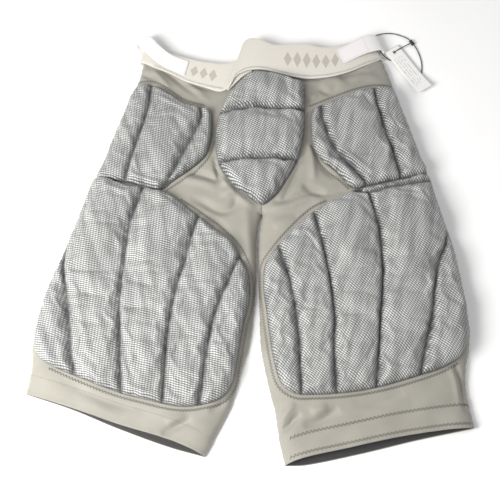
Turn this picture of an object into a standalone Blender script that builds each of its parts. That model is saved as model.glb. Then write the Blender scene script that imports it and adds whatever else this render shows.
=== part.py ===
"""Padded impact shorts, lying flat with the front up.

The garment is drawn in a flat pattern frame in millimetres: X to the wearer's left (the right of the
drawing), Y up to the waist, Z off the surface that the shorts lie on.  Every soft part is a plate
that follows the dome of the front fabric, so neighbours keep a constant gap.
"""
import math

import bmesh
import bpy
from mathutils import Vector
from mathutils.geometry import delaunay_2d_cdt

MM = 0.001

# The pattern frame's point that becomes the model's origin.
ORIGIN_X = 3.0
ORIGIN_Y = 22.944

GAP = 0.3                 # air between two neighbours that touch
SPLIT_GAP = 0.5           # half the gap between the hips and a leg
CENTRE_GAP = 0.4          # half the gap between the two legs

# Fabric shell: thicknesses and the dome of the front layer, by distance from the silhouette.
BACK_THICK = 1.5
FRONT_THICK = 1.2
RUN_ON = 40.0             # how far the sides' lines run on past the fabric's ends
SIDE_SEAM_Z = 1.8         # underside of the front fabric on the silhouette
DOME_RINGS = (4.0, 12.0, 25.0)
DOME_HEIGHTS = (4.0, 8.5, 12.5, 14.5)

# Pads: a flange, rounded channels and a foam bar in each channel.
FLANGE_THICK = 1.2
FLANGE_RIM = 1.5          # flange showing round the channels
GROOVE_HALF = 1.5         # half the width of the groove between two channels
CHANNEL_RISE = 11.2
CENTRE_RISE = 14.0
CHANNEL_ROUND = 7.0       # width of a channel's rounded edge
COVER_SKIN = 1.6
FOAM_SLACK = 0.9
POCKET_INSET = 2.2
FOAM_INSET = 2.6
CHANNEL_LOOPS = (1.2, 3.2)
CHANNEL_RING = 7.0
POCKET_RINGS = (4.0, 7.0)
RING_STEP = 26.0

# Trim
SEAM_WIDTH = 1.6
SEAM_THICK = 0.5
BAND_THICK = 1.5
BAND_BACK_Z = 1.3
LOOP_WIDTH = 20.0
LOOP_THICK = 1.0
LOOP_GAP = 7.0            # room between the waistband's end and the loop round it
GRIPPER_DEPTH = 22.0
GRIPPER_THICK = 0.8
GRIPPER_GAP = 0.6
HEM_SEAM_UP = 24.0

# Hang tag
TAG_LENGTH = 73.0
TAG_WIDTH = 21.0
TAG_THICK = 0.6
TAG_Z = 2.2
TAG_HOLE = (184.9, 273.8)
TAG_HOLE_RADIUS = 2.0
TAG_HOLE_INSET = 7.0
TAG_ANGLE = -58.0
TAG_CORNER = 2.5
CORD_RADIUS = 0.6
LOCK_CENTRE = (208.0, 288.2)
LOCK_SIZE = (7.0, 5.0, 4.0)
LOCK_ANGLE = -52.0
PIN_Z = 3.6

# ---------------------------------------------------------------- outlines of the flat garment
SPLIT_LEFT = (-187.0, 91.0)
SPLIT_APEX = (14.0, 47.0)
SPLIT_RIGHT = (217.0, 96.0)

HIP_SIDE_LEFT = [(-137, 252), (-141, 230), (-152, 201), (-168, 155), SPLIT_LEFT]
HIP_SIDE_RIGHT = [(171, 256), (181, 222), (196, 172), (211, 117), SPLIT_RIGHT]
LEG_SIDE_LEFT = [SPLIT_LEFT, (-196, 73), (-209, 32), (-219, 0), (-229, -34), (-238, -78),
                 (-241, -112), (-240, -135), (-243, -165)]
LEG_SIDE_RIGHT = [SPLIT_RIGHT, (232, 36), (240, 2), (246, -50), (249, -90), (246, -115),
                  (240, -140), (237, -162), (240, -201)]
LEG_INNER_LEFT = [SPLIT_APEX, (8, 2), (8, -58), (0, -112), (-9, -142), (-21, -182), (-47, -232)]
LEG_INNER_RIGHT = [SPLIT_APEX, (9, 2), (9, -70), (11, -115), (18, -152), (27, -186), (41, -242)]

# Waistband stations, left to right: lower edge, upper edge and height of the front wall.
WAIST = [((-137, 253), (-129, 279.5), 7.0), ((-120, 244), (-112, 270), 12.5),
         ((-100, 234), (-93, 260), 14.0), ((-80, 223), (-72, 253), 14.0),
         ((-58, 215), (-52, 250), 14.0), ((-34, 211), (-28, 249), 14.5),
         ((-17, 227), (-12, 271), 17.0), ((4, 237), (6, 281), 18.0),
         ((26, 235), (26, 274), 17.5), ((49, 229), (48, 275), 16.5),
         ((68, 226), (70, 276), 15.5), ((86, 227), (89, 272), 15.0),
         ((105, 231), (106, 273), 15.0), ((125, 237), (125, 279), 14.5),
         ((145, 247), (141, 287), 12.5), ((164.5, 259), (154, 286), 7.0)]

# Pad channels, each an outline run round once.  Neighbours share their groove line.
HIP_CHANNELS_LEFT = [
    [(-143, 212), (-134, 219), (-122, 216), (-124, 188), (-138, 136), (-148, 85), (-165, 88.5),
     (-184, 93), (-176, 118), (-166, 147), (-153, 186)],
    [(-122, 216), (-102, 206), (-82, 192), (-62, 185.5), (-60, 170), (-75, 136), (-104, 75.5),
     (-148, 85), (-138, 136), (-124, 188)],
    [(-62, 185.5), (-47, 179), (-47, 140), (-54, 119), (-72, 101), (-92, 86), (-104, 75.5),
     (-75, 136), (-60, 170)],
]
HIP_CHANNELS_RIGHT = [
    [(157, 213), (176, 212), (192, 162), (210, 97), (179, 89.5), (163, 163)],
    [(87, 188), (117, 201), (157, 213), (163, 163), (179, 89.5), (139, 80), (124, 103),
     (103, 130), (90, 168)],
    [(76, 182), (87, 188), (90, 168), (103, 130), (124, 103), (139, 80), (122, 79), (104, 98),
     (86, 115), (76, 132)],
]
CENTRE_CHANNELS = [
    [(-20, 209), (-4, 224), (12, 232), (32, 229), (52, 223), (66, 218), (67, 179), (-5, 183),
     (-37, 175)],
    [(-37, 175), (-5, 183), (67, 179), (66, 154), (57, 113), (-2, 115), (-37, 107), (-42, 146)],
    [(-37, 107), (-2, 115), (57, 113), (40, 82), (14, 57), (-19, 79)],
]
THIGH_CHANNELS_LEFT = [
    [(-212, -8), (-207, -42), (-201, -83), (-196, -122), (-190, -146), (-219, -133), (-233, -119),
     (-235, -83), (-225, -34)],
    [(-186, 87.5), (-165, 83), (-126, 75), (-137, 43), (-143, -2), (-146, -61), (-144, -97),
     (-142, -141), (-139, -166), (-190, -146), (-196, -122), (-201, -83), (-207, -42), (-212, -8),
     (-204, 30)],
    [(-126, 75), (-99, 69), (-60, 41), (-67, 16), (-72, -2), (-84, -51), (-91, -97), (-92, -133),
     (-94, -176), (-114, -172), (-139, -166), (-142, -141), (-144, -97), (-146, -61), (-143, -2),
     (-137, 43)],
    [(-60, 41), (-22, 10), (-12, -8), (-30, -51), (-40, -79), (-48, -124), (-55, -178),
     (-80, -179), (-94, -176), (-92, -133), (-91, -97), (-84, -51), (-72, -2), (-67, 16)],
    [(-12, -8), (-6, -18), (0, -31), (-1, -63), (-7, -88), (-15, -133), (-22, -159), (-32, -171),
     (-55, -178), (-48, -124), (-40, -79), (-30, -51)],
]
THIGH_CHANNELS_RIGHT = [
    [(228, 14), (236, -4), (240, -32), (243, -66), (243, -93), (240, -108), (231, -125),
     (207, -138), (185, -145), (191, -122), (195, -101), (204, -73), (207, -51), (216, -13)],
    [(139, 74), (213, 92), (218, 70), (228, 29), (228, 14), (216, -13), (207, -51), (204, -73),
     (195, -101), (191, -122), (185, -145), (172, -150), (137, -159), (137, -140), (143, -106),
     (144, -79), (149, -51), (150, 10), (146, 49)],
    [(74, 47), (93, 57), (123, 69), (139, 74), (146, 49), (150, 10), (149, -51), (144, -79),
     (143, -106), (137, -140), (137, -159), (103, -164), (94, -165), (91, -115), (94, -79),
     (91, -42), (85, -2), (79, 29)],
    [(32, 5), (46, 20), (74, 47), (79, 29), (85, -2), (91, -42), (94, -79), (91, -115),
     (94, -165), (69, -166), (56, -166), (55, -133), (53, -97), (48, -61), (44, -32), (36, -4)],
    [(32, 5), (36, -4), (44, -32), (48, -61), (53, -97), (55, -133), (56, -166), (49, -166),
     (34, -154), (26, -129), (21, -97), (18, -70), (14.5, -42), (17, -16)],
]
HIP_PAD_LEFT = [(-143, 212), (-134, 219), (-122, 216), (-102, 206), (-82, 192), (-62, 185.5),
                (-47, 179), (-47, 140), (-54, 119), (-72, 101), (-92, 86), (-104, 75.5),
                (-148, 85), (-165, 88.5), (-184, 93), (-176, 118), (-166, 147), (-153, 186)]
HIP_PAD_RIGHT = [(76, 182), (87, 188), (117, 201), (157, 213), (176, 212), (192, 162), (210, 97),
                 (179, 89.5), (139, 80), (122, 79), (104, 98), (86, 115), (76, 132)]
CENTRE_PAD = [(-20, 209), (-4, 224), (12, 232), (32, 229), (52, 223), (66, 218), (67, 179),
              (66, 154), (57, 113), (40, 82), (14, 57), (-19, 79), (-37, 107), (-42, 146),
              (-37, 175)]
THIGH_PAD_LEFT = [(-186, 87.5), (-165, 83), (-126, 75), (-99, 69), (-60, 41), (-22, 10),
                  (-12, -8), (-6, -18), (0, -31), (-1, -63), (-7, -88), (-15, -133), (-22, -159),
                  (-32, -171), (-55, -178), (-80, -179), (-94, -176), (-114, -172),
                  (-139, -166), (-190, -146), (-219, -133), (-233, -119), (-235, -83),
                  (-225, -34), (-212, -8), (-204, 30)]
THIGH_PAD_RIGHT = [(74, 47), (93, 57), (123, 69), (139, 74), (213, 92), (218, 70), (228, 29),
                   (228, 14), (236, -4), (240, -32), (243, -66), (243, -93), (240, -108),
                   (231, -125), (207, -138), (185, -145), (172, -150), (137, -159), (103, -164),
                   (94, -165), (69, -166), (56, -166), (49, -166), (34, -154), (26, -129),
                   (21, -97), (18, -70), (14.5, -42), (17, -16), (32, 5), (46, 20)]

# Stitched seams, each a line on the front fabric.
YOKE_SEAM_LEFT = [(-141, 224), (-134, 225), (-118, 222), (-100, 211), (-81, 197.5), (-55, 189.5)]
YOKE_SEAM_RIGHT = [(73, 188), (86, 194), (116, 207), (146, 218), (175, 218)]
THIGH_SEAM_LEFT = [(-84, 64), (-56, 45), (-18, 13), (-2, -16), (3.5, -30), (3, -63), (-3, -88),
                   (-11, -134), (-18, -161), (-30, -175), (-56, -182), (-80, -183), (-115, -176),
                   (-150, -166), (-194, -149), (-221, -137)]
THIGH_SEAM_RIGHT = [(88, 59), (71, 51), (43, 24), (24, -1), (12.5, -15), (11.2, -42), (14, -70),
                    (17, -98), (22, -130), (31, -157), (47, -170), (69, -170.5), (103, -168.5),
                    (138, -163.5), (173, -154.5), (209, -142), (228, -132)]

# The tag's cord: out of the lock, round through the right-hand loop and back under the card.
CORD_ROUTE = [(210.6, 284.9, 1.6), (213.4, 279.5, 1.2), (217, 269, 0.8), (218.8, 258, 0.7),
              (218, 246, 0.7), (216.6, 236, 0.7), (216.6, 228.5, 0.7), (214.8, 223.6, 0.7),
              (210.9, 222.8, 0.7), (206.6, 227.2, 0.7), (203, 235.5, 0.7), (197.8, 246.5, 0.7),
              (191, 256.4, 0.7), (184.3, 261.4, 0.7), (176.8, 263.8, 0.8), (172, 267.4, 1.9),
              (168.6, 270.6, 3.6), (165.2, 275, 5.4), (162.2, 281, 6.2), (159.2, 286.6, 5.7),
              (157.4, 291.3, 4.4), (159, 296.2, 2.8), (164, 300, 1.6), (171.8, 302.4, 0.9),
              (179.6, 303.2, 0.7), (187.8, 302, 0.7), (195.2, 299.2, 0.9), (201, 296, 1.3),
              (205.4, 292.2, 1.6)]


# ---------------------------------------------------------------- flat geometry
def segment_distance(point, start, end):
    """Distance of a point from a straight stretch."""
    run_x, run_y = end[0] - start[0], end[1] - start[1]
    off_x, off_y = point[0] - start[0], point[1] - start[1]
    along = (off_x * run_x + off_y * run_y) / (run_x * run_x + run_y * run_y)
    along = min(1.0, max(0.0, along))
    return math.hypot(off_x - along * run_x, off_y - along * run_y)


def line_distance(point, line):
    """Distance of a point from an open line."""
    return min(segment_distance(point, a, b) for a, b in zip(line, line[1:]))


def loop_distance(point, loop):
    """Distance of a point from a closed outline."""
    return line_distance(point, loop + loop[:1])


def inside(point, loop):
    """True where a point lies within a closed outline."""
    hit = False
    for a, b in zip(loop, loop[1:] + loop[:1]):
        if (a[1] > point[1]) != (b[1] > point[1]):
            cross_x = a[0] + (point[1] - a[1]) * (b[0] - a[0]) / (b[1] - a[1])
            hit ^= point[0] < cross_x
    return hit


def counter_clockwise(loop):
    """The outline, run round with its inside on the left."""
    area = sum(a[0] * b[1] - b[0] * a[1] for a, b in zip(loop, loop[1:] + loop[:1]))
    return list(loop) if area > 0 else list(reversed(loop))


def left_normal(start, end):
    """Unit normal on the left of a straight stretch."""
    run_x, run_y = end[0] - start[0], end[1] - start[1]
    length = math.hypot(run_x, run_y)
    return (-run_y / length, run_x / length)


def mitre(before, point, after, offset):
    """A corner moved to the left of its two edges by the offset."""
    first, second = left_normal(before, point), left_normal(point, after)
    scale = offset / (1.0 + first[0] * second[0] + first[1] * second[1])
    return (point[0] + (first[0] + second[0]) * scale, point[1] + (first[1] + second[1]) * scale)


def inset(loop, offset):
    """The closed outline moved inwards (outwards by a negative offset), less collapsed corners."""
    loop = counter_clockwise(loop)
    count = len(loop)
    moved = [mitre(loop[i - 1], loop[i], loop[(i + 1) % count], offset) for i in range(count)]
    return [point for point in moved if loop_distance(point, loop) > abs(offset) - 0.05]


def parallel(line, offset):
    """The open line moved to its left by the offset."""
    moved = []
    for i, point in enumerate(line):
        if 0 < i < len(line) - 1:
            moved.append(mitre(line[i - 1], point, line[i + 1], offset))
            continue
        normal = left_normal(line[0], line[1]) if i == 0 else left_normal(line[-2], line[-1])
        moved.append((point[0] + normal[0] * offset, point[1] + normal[1] * offset))
    return moved


def ring_points(loop, depth):
    """Points the given depth inside a closed outline, left out where it is too narrow."""
    ring = inset(loop, depth)
    points = []
    for a, b in zip(ring, ring[1:] + ring[:1]):
        pieces = max(1, round(math.dist(a, b) / RING_STEP))
        points += [lerp(a, b, k / pieces) for k in range(pieces)]
    return [p for p in points if inside(p, loop) and loop_distance(p, loop) > depth - 0.1]


def lerp(a, b, t):
    return tuple(p + (q - p) * t for p, q in zip(a, b))


def extended(line):
    """The open line, carried straight on past both its ends."""
    first = lerp(line[1], line[0], 1.0 + RUN_ON / math.dist(line[0], line[1]))
    last = lerp(line[-2], line[-1], 1.0 + RUN_ON / math.dist(line[-1], line[-2]))
    return [first] + list(line) + [last]


# ---------------------------------------------------------------- the dome of the front fabric
class Region:
    """A stretch of the garment between two sides, with the dome of its front fabric."""

    def __init__(self, sides):
        self.sides = [(extended(line), towards_inside) for line, towards_inside in sides]
        self.cuts = []
        for line, towards_inside in self.sides:
            rings = [parallel(line, ring * towards_inside) for ring in DOME_RINGS]
            self.cuts += rings
            self.cuts += [list(column) for column in zip(line, *rings)]

    def top(self, point):
        """Height of the front fabric's outer face."""
        depth = min(line_distance(point, line) for line, _ in self.sides)
        return interpolate(depth, (0.0,) + DOME_RINGS, DOME_HEIGHTS)

    def underside(self, point):
        """Height of the front fabric's inner face, which comes down to the side seam."""
        depth = min(line_distance(point, line) for line, _ in self.sides)
        inner = (SIDE_SEAM_Z,) + tuple(z - FRONT_THICK for z in DOME_HEIGHTS[1:])
        return interpolate(depth, (0.0,) + DOME_RINGS, inner)


def interpolate(value, stations, heights):
    """Straight-line interpolation in a short table, held level past its end."""
    for i in range(1, len(stations)):
        if value <= stations[i]:
            share = (value - stations[i - 1]) / (stations[i] - stations[i - 1])
            return heights[i - 1] + (heights[i] - heights[i - 1]) * share
    return heights[-1]


def moved_x(line, offset):
    """The line moved sideways, to part the two legs."""
    return [(x + offset, y) for x, y in line]


HIPS = Region([(HIP_SIDE_LEFT + LEG_SIDE_LEFT[1:3], 1), (HIP_SIDE_RIGHT + LEG_SIDE_RIGHT[1:3], -1)])
LEFT_INNER = moved_x(LEG_INNER_LEFT, -CENTRE_GAP)
RIGHT_INNER = moved_x(LEG_INNER_RIGHT, CENTRE_GAP)
LEFT_LEG = Region([(HIP_SIDE_LEFT[-2:-1] + LEG_SIDE_LEFT, 1), (LEFT_INNER, -1)])
RIGHT_LEG = Region([(HIP_SIDE_RIGHT[-2:-1] + LEG_SIDE_RIGHT, -1), (RIGHT_INNER, 1)])


# ---------------------------------------------------------------- solids from flat outlines
def triangulate(outline, holes, cuts, loops=(), points=()):
    """Triangles inside an outline and outside its holes, with an edge along every cut line."""
    corners, edges = [], []
    chains = [list(loop) + list(loop[:1]) for loop in (outline, *holes, *loops)]
    for chain in chains + [list(cut) for cut in cuts]:
        base = len(corners)
        corners += chain
        edges += [(base + i, base + i + 1) for i in range(len(chain) - 1)]
    corners += list(points)
    flat = [Vector((x, y)) for x, y in corners]
    verts, _, faces, _, _, _ = delaunay_2d_cdt(flat, edges, [], 0, 1e-4)
    kept = []
    for face in faces:
        centre = (sum(verts[i].x for i in face) / 3, sum(verts[i].y for i in face) / 3)
        if inside(centre, outline) and not any(inside(centre, hole) for hole in holes):
            kept.append(face)
    return [(v.x, v.y) for v in verts], kept


def add_layer(mesh, flat, height):
    """Adds a triangulated layer at a height, and returns its open edges."""
    points, faces = flat
    used = {i for face in faces for i in face}
    verts = {i: mesh.verts.new((*points[i], height(points[i]))) for i in used}
    made = [mesh.faces.new([verts[i] for i in face]) for face in faces]
    return [edge for edge in {e for f in made for e in f.edges} if len(edge.link_faces) == 1]


def flat_distance(a, b):
    return math.hypot(a.co.x - b.co.x, a.co.y - b.co.y)


def add_wall(mesh, upper, lower):
    """Joins the open edges of two layers that have the same outline."""
    lower_verts = {vert for edge in lower for vert in edge.verts}
    below = {}
    for vert in {vert for edge in upper for vert in edge.verts}:
        below[vert] = min(lower_verts, key=lambda other: flat_distance(vert, other))
    for edge in upper:
        a, b = edge.verts
        mesh.faces.new((a, b, below[b], below[a]))


def within(edges, loop):
    """The open edges that lie along a closed outline."""
    def on_loop(vert):
        return loop_distance((vert.co.x, vert.co.y), loop) < 0.05
    return [edge for edge in edges if all(on_loop(vert) for vert in edge.verts)]


def finish(name, mesh, material):
    """Makes the object: pattern millimetres to metres about the origin, faces out."""
    bmesh.ops.remove_doubles(mesh, verts=mesh.verts, dist=0.001)
    bmesh.ops.recalc_face_normals(mesh, faces=mesh.faces)
    for vert in mesh.verts:
        vert.co = ((vert.co.x - ORIGIN_X) * MM, (vert.co.y - ORIGIN_Y) * MM, vert.co.z * MM)
    data = bpy.data.meshes.new(name)
    mesh.to_mesh(data)
    mesh.free()
    data.materials.append(material)
    obj = bpy.data.objects.new(name, data)
    bpy.context.collection.objects.link(obj)
    return obj


def plate(name, outline, cuts, top, bottom, material, holes=()):
    """A closed plate with one outline and two faces given by their heights."""
    flat = triangulate(outline, holes, cuts)
    mesh = bmesh.new()
    upper = add_layer(mesh, flat, top)
    lower = add_layer(mesh, flat, bottom)
    add_wall(mesh, upper, lower)
    return finish(name, mesh, material)


def strip(line, width):
    """The outline of a strip of even width along a line."""
    return parallel(line, width / 2) + list(reversed(parallel(line, -width / 2)))


# ---------------------------------------------------------------- pads
def rounding(point, foot, rise):
    """Height of a channel above its flange, rounded over towards its foot."""
    if not inside(point, foot):
        return 0.0
    depth = min(loop_distance(point, foot) / CHANNEL_ROUND, 1.0)
    return rise * math.sqrt(max(0.0, 1.0 - (1.0 - depth) ** 2))


def pad_cover(name, outline, channels, region, rise, material):
    """Mesh cover: a flange with rounded channels, each hollow and open below for its foam."""
    rim = inset(outline, -FLANGE_RIM)
    feet = [inset(channel, GROOVE_HALF) for channel in channels]
    pockets = [inset(foot, POCKET_INSET) for foot in feet]
    loops = feet + [inset(foot, depth) for foot in feet for depth in CHANNEL_LOOPS]
    ring = [p for foot in feet for p in ring_points(foot, CHANNEL_RING)]

    def base(point):
        return region.top(point) + GAP

    def crown(point):
        return base(point) + FLANGE_THICK + max(rounding(point, foot, rise) for foot in feet)

    mesh = bmesh.new()
    upper = add_layer(mesh, triangulate(rim, (), region.cuts, loops, ring), crown)
    lower = add_layer(mesh, triangulate(rim, pockets, region.cuts), base)
    add_wall(mesh, upper, within(lower, rim))
    for pocket, foot in zip(pockets, feet):
        def ceiling(point, foot=foot):
            return base(point) + FLANGE_THICK + rounding(point, foot, rise) - COVER_SKIN
        inner = [p for depth in POCKET_RINGS for p in ring_points(foot, depth)]
        roof = add_layer(mesh, triangulate(pocket, (), region.cuts, (), inner), ceiling)
        add_wall(mesh, roof, within(lower, pocket))
    return finish(name, mesh, material)


def pad_foams(prefix, channels, region, rise, material):
    """A foam bar for each channel, a little smaller than its pocket."""
    made = []
    for number, channel in enumerate(channels, 1):
        foot = inset(channel, GROOVE_HALF)
        outline = inset(foot, FOAM_INSET)

        def top(point, foot=foot):
            lift = FLANGE_THICK - COVER_SKIN - FOAM_SLACK + rounding(point, foot, rise)
            return region.top(point) + GAP + lift

        def bottom(point):
            return region.top(point) + GAP
        rings = [p for depth in POCKET_RINGS for p in ring_points(foot, depth)]
        flat = triangulate(outline, (), region.cuts, (), rings)
        mesh = bmesh.new()
        add_wall(mesh, add_layer(mesh, flat, top), add_layer(mesh, flat, bottom))
        made.append(finish(f"{prefix}_{number}", mesh, material))
    return made


# ---------------------------------------------------------------- fabric panels
def raised(line, offset):
    """The line moved along Y, to part the hips from the legs."""
    return [(x, y + offset) for x, y in line]


def hip_outline():
    """Hips, from the waistband's lower edge down to the two hinge lines."""
    waist = [(x, y - GAP - 0.1) for (x, y), _, _ in WAIST]
    split = raised([SPLIT_LEFT, SPLIT_APEX, SPLIT_RIGHT], SPLIT_GAP)
    side_left, side_right = HIP_SIDE_LEFT[1:-1], HIP_SIDE_RIGHT[1:-1]
    return waist + side_right + list(reversed(split)) + list(reversed(side_left))


def leg_outline(side, inner):
    """One leg, from its hinge line down to the hem."""
    top = raised([side[0], inner[0]], -SPLIT_GAP)
    return top + inner[1:] + list(reversed(side[1:]))


def fabric_pair(front_name, back_name, outline, region, material):
    """The front layer, domed, and the back layer, flat on the ground."""
    plate(front_name, outline, region.cuts, region.top, region.underside, material)
    plate(back_name, outline, (), lambda point: BACK_THICK, lambda point: 0.0, material)


def seam(name, line, region, material):
    """A raised row of stitching on the front fabric."""
    plate(name, strip(line, SEAM_WIDTH), region.cuts,
          lambda point: region.top(point) + GAP + SEAM_THICK,
          lambda point: region.top(point) + GAP, material)


def hem_patch(side, inner, depth):
    """Corners of the band of fabric next to a hem: two on the hem, two up the leg."""
    def up_from_hem(line):
        share = depth / math.dist(line[-1], line[-2])
        return lerp(line[-1], line[-2], share)
    return side[-1], inner[-1], up_from_hem(side), up_from_hem(inner)


# ---------------------------------------------------------------- flat sleeves
def sleeve(name, stations, thick, material):
    """A flat sleeve: each station is its near point, far point, top height and bottom height."""
    def ring(inner):
        shrink = thick if inner else 0.0
        upper, lower = [], []
        for i, (near, far, top, bottom) in enumerate(stations):
            if inner and i in (0, len(stations) - 1):
                other = stations[1] if i == 0 else stations[-2]
                near = lerp(near, other[0], thick / math.dist(near, other[0]))
                far = lerp(far, other[1], thick / math.dist(far, other[1]))
            upper.append((near, far, top - shrink))
            lower.append((near, far, bottom + shrink))
        return upper + list(reversed(lower))

    mesh = bmesh.new()
    rings = []
    for inner in (False, True):
        near = [mesh.verts.new((*p, z)) for p, _, z in ring(inner)]
        far = [mesh.verts.new((*p, z)) for _, p, z in ring(inner)]
        rings.append((near, far))
    (near_out, far_out), (near_in, far_in) = rings
    count = len(near_out)
    for i in range(count):
        j = (i + 1) % count
        mesh.faces.new((near_out[i], near_out[j], far_out[j], far_out[i]))
        mesh.faces.new((near_in[j], near_in[i], far_in[i], far_in[j]))
        mesh.faces.new((near_out[j], near_out[i], near_in[i], near_in[j]))
        mesh.faces.new((far_out[i], far_out[j], far_in[j], far_in[i]))
    bmesh.ops.triangulate(mesh, faces=mesh.faces)
    return finish(name, mesh, material)


def gripper(name, side, inner, region, material):
    """Knitted band inside a hem, held just clear of the fabric round it."""
    hem_out, hem_in, up_out, up_in = hem_patch(side, inner, GRIPPER_DEPTH)
    width = math.dist(hem_out, hem_in)
    depths = (2.5, 5.0, 13.0, 26.0)
    shares = [d / width for d in depths] + [0.35, 0.5, 0.65]
    shares += [1.0 - d / width for d in reversed(depths)]
    stations = []
    for share in shares:
        near = lerp(hem_out, hem_in, share)
        far = lerp(up_out, up_in, share)
        near = lerp(near, far, 0.04)
        top = min(region.underside(near), region.underside(far)) - GRIPPER_GAP
        stations.append((near, far, max(top, 4.2), BACK_THICK + GAP))
    return sleeve(name, stations, GRIPPER_THICK, material)


# ---------------------------------------------------------------- side loops
def loop_path(length, front_z, wrap):
    """The loop's middle line in its own plane: along the front, round the end and back."""
    back_z = LOOP_THICK / 2
    radius = (front_z - back_z) / 2
    centre_z = back_z + radius
    path = [(0.0, front_z), (length * 0.5, front_z), (length, front_z)]
    for k in range(1, 8):
        angle = math.pi / 2 - math.pi * k / 8
        path.append((length + wrap * math.cos(angle), centre_z + radius * math.sin(angle)))
    return path + [(length, back_z), (length - 18.0, back_z)]


def side_loop(name, start, angle, length, front_z, material):
    """A satin tape stitched on the waistband's front, round its end and on to its back."""
    wrap = LOOP_GAP + LOOP_THICK
    path = loop_path(length, front_z, wrap)
    outer, inner = parallel(path, LOOP_THICK / 2), parallel(path, -LOOP_THICK / 2)
    run = (math.cos(math.radians(angle)), math.sin(math.radians(angle)))
    mesh = bmesh.new()
    rows = []
    for side in (-LOOP_WIDTH / 2, LOOP_WIDTH / 2):
        rows.append([mesh.verts.new((start[0] + s * run[0] - side * run[1],
                                     start[1] + s * run[1] + side * run[0], z))
                     for s, z in outer + list(reversed(inner))])
    near, far = rows
    count = len(near)
    for i in range(count):
        j = (i + 1) % count
        mesh.faces.new((near[i], near[j], far[j], far[i]))
    half = len(outer)
    for row in rows:
        for i in range(half - 1):
            mesh.faces.new((row[i], row[i + 1], row[count - 2 - i], row[count - 1 - i]))
    return finish(name, mesh, material)


# ---------------------------------------------------------------- hang tag
def turned(point, origin, angle):
    """A point of the tag's own plan, turned and put in place."""
    c, s = math.cos(math.radians(angle)), math.sin(math.radians(angle))
    return (origin[0] + point[0] * c - point[1] * s, origin[1] + point[0] * s + point[1] * c)


def circle(centre, radius, count):
    return [(centre[0] + radius * math.cos(math.tau * k / count),
             centre[1] + radius * math.sin(math.tau * k / count)) for k in range(count)]


def hang_tag(material):
    """A card with rounded corners and a hole for the pin near its upper end."""
    low, high = -TAG_HOLE_INSET, TAG_LENGTH - TAG_HOLE_INSET
    half = TAG_WIDTH / 2
    corners = [(low, -half), (high, -half), (high, half), (low, half)]
    outline = []
    for x, y in corners:
        cx = x + math.copysign(TAG_CORNER, -x)
        cy = y + math.copysign(TAG_CORNER, -y)
        first = math.degrees(math.atan2(y - cy, x - cx)) - 45.0
        for k in range(4):
            angle = math.radians(first + 30.0 * k)
            outline.append((cx + TAG_CORNER * math.cos(angle), cy + TAG_CORNER * math.sin(angle)))
    outline = [turned(point, TAG_HOLE, TAG_ANGLE) for point in outline]
    hole = circle(TAG_HOLE, TAG_HOLE_RADIUS, 16)
    return plate("hang_tag", outline, (), lambda point: TAG_Z + TAG_THICK, lambda point: TAG_Z,
                 material, holes=[hole])


def tube(name, points, radius, material):
    """A round cord as a curve with filled ends, through points already in pattern millimetres."""
    curve = bpy.data.curves.new(name, "CURVE")
    curve.dimensions = "3D"
    curve.bevel_depth = radius * MM
    curve.bevel_resolution = 2
    curve.resolution_u = 1
    curve.render_resolution_u = 0
    curve.use_fill_caps = True
    spline = curve.splines.new("POLY")
    spline.points.add(len(points) - 1)
    for slot, (x, y, z) in zip(spline.points, points):
        slot.co = ((x - ORIGIN_X) * MM, (y - ORIGIN_Y) * MM, z * MM, 1.0)
    curve.materials.append(material)
    obj = bpy.data.objects.new(name, curve)
    bpy.context.collection.objects.link(obj)
    return obj


def smooth(points, per_span):
    """Points along a smooth curve through the given points."""
    padded = [points[0]] + list(points) + [points[-1]]
    line = []
    for a, b, c, d in zip(padded, padded[1:], padded[2:], padded[3:]):
        for k in range(per_span):
            t = k / per_span
            line.append(tuple(0.5 * (2 * q + (r - p) * t + (2 * p - 5 * q + 4 * r - s) * t * t
                                     + (3 * q - p - 3 * r + s) * t ** 3)
                              for p, q, r, s in zip(a, b, c, d)))
    return line + [points[-1]]


def tag_lock(material):
    """The small barrel that both ends of the cord and the pin run into."""
    bpy.ops.mesh.primitive_cube_add(size=1.0)
    obj = bpy.context.object
    obj.name = "tag_lock"
    length, width, height = (size * MM for size in LOCK_SIZE)
    for vert in obj.data.vertices:
        vert.co = (vert.co.x * width, vert.co.y * length, vert.co.z * height)
    obj.location = ((LOCK_CENTRE[0] - ORIGIN_X) * MM, (LOCK_CENTRE[1] - ORIGIN_Y) * MM,
                    height / 2 + 0.1 * MM)
    obj.rotation_euler = (0.0, 0.0, math.radians(LOCK_ANGLE + 80.0))
    bevel = obj.modifiers.new("edges", "BEVEL")
    bevel.width = 1.2 * MM
    bevel.segments = 2
    obj.data.materials.append(material)
    return obj


def tag_pin(material):
    """The pin: out of the lock, over the card and down into its hole."""
    hole_x, hole_y = TAG_HOLE
    direction = math.atan2(LOCK_CENTRE[1] - hole_y, LOCK_CENTRE[0] - hole_x)
    span = math.dist(LOCK_CENTRE, TAG_HOLE) - LOCK_SIZE[1] / 2 - GAP - 0.7
    route = []
    for share, z in ((1.0, 3.0), (0.8, 3.5), (0.5, 3.9), (0.2, 4.0), (0.05, PIN_Z), (0.0, 2.4),
                     (0.0, 1.4)):
        route.append((hole_x + math.cos(direction) * span * share,
                      hole_y + math.sin(direction) * span * share, z))
    return tube("tag_pin", smooth(route, 3), CORD_RADIUS, material)


# ---------------------------------------------------------------- materials
def material(name, color, roughness):
    """A plain Principled material."""
    made = bpy.data.materials.new(name)
    made.use_nodes = True
    shader = made.node_tree.nodes["Principled BSDF"]
    shader.inputs["Base Color"].default_value = (*color, 1.0)
    shader.inputs["Roughness"].default_value = roughness
    shader.inputs["Metallic"].default_value = 0.0
    return made


def clear_scene():
    for obj in list(bpy.data.objects):
        bpy.data.objects.remove(obj, do_unlink=True)


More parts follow.
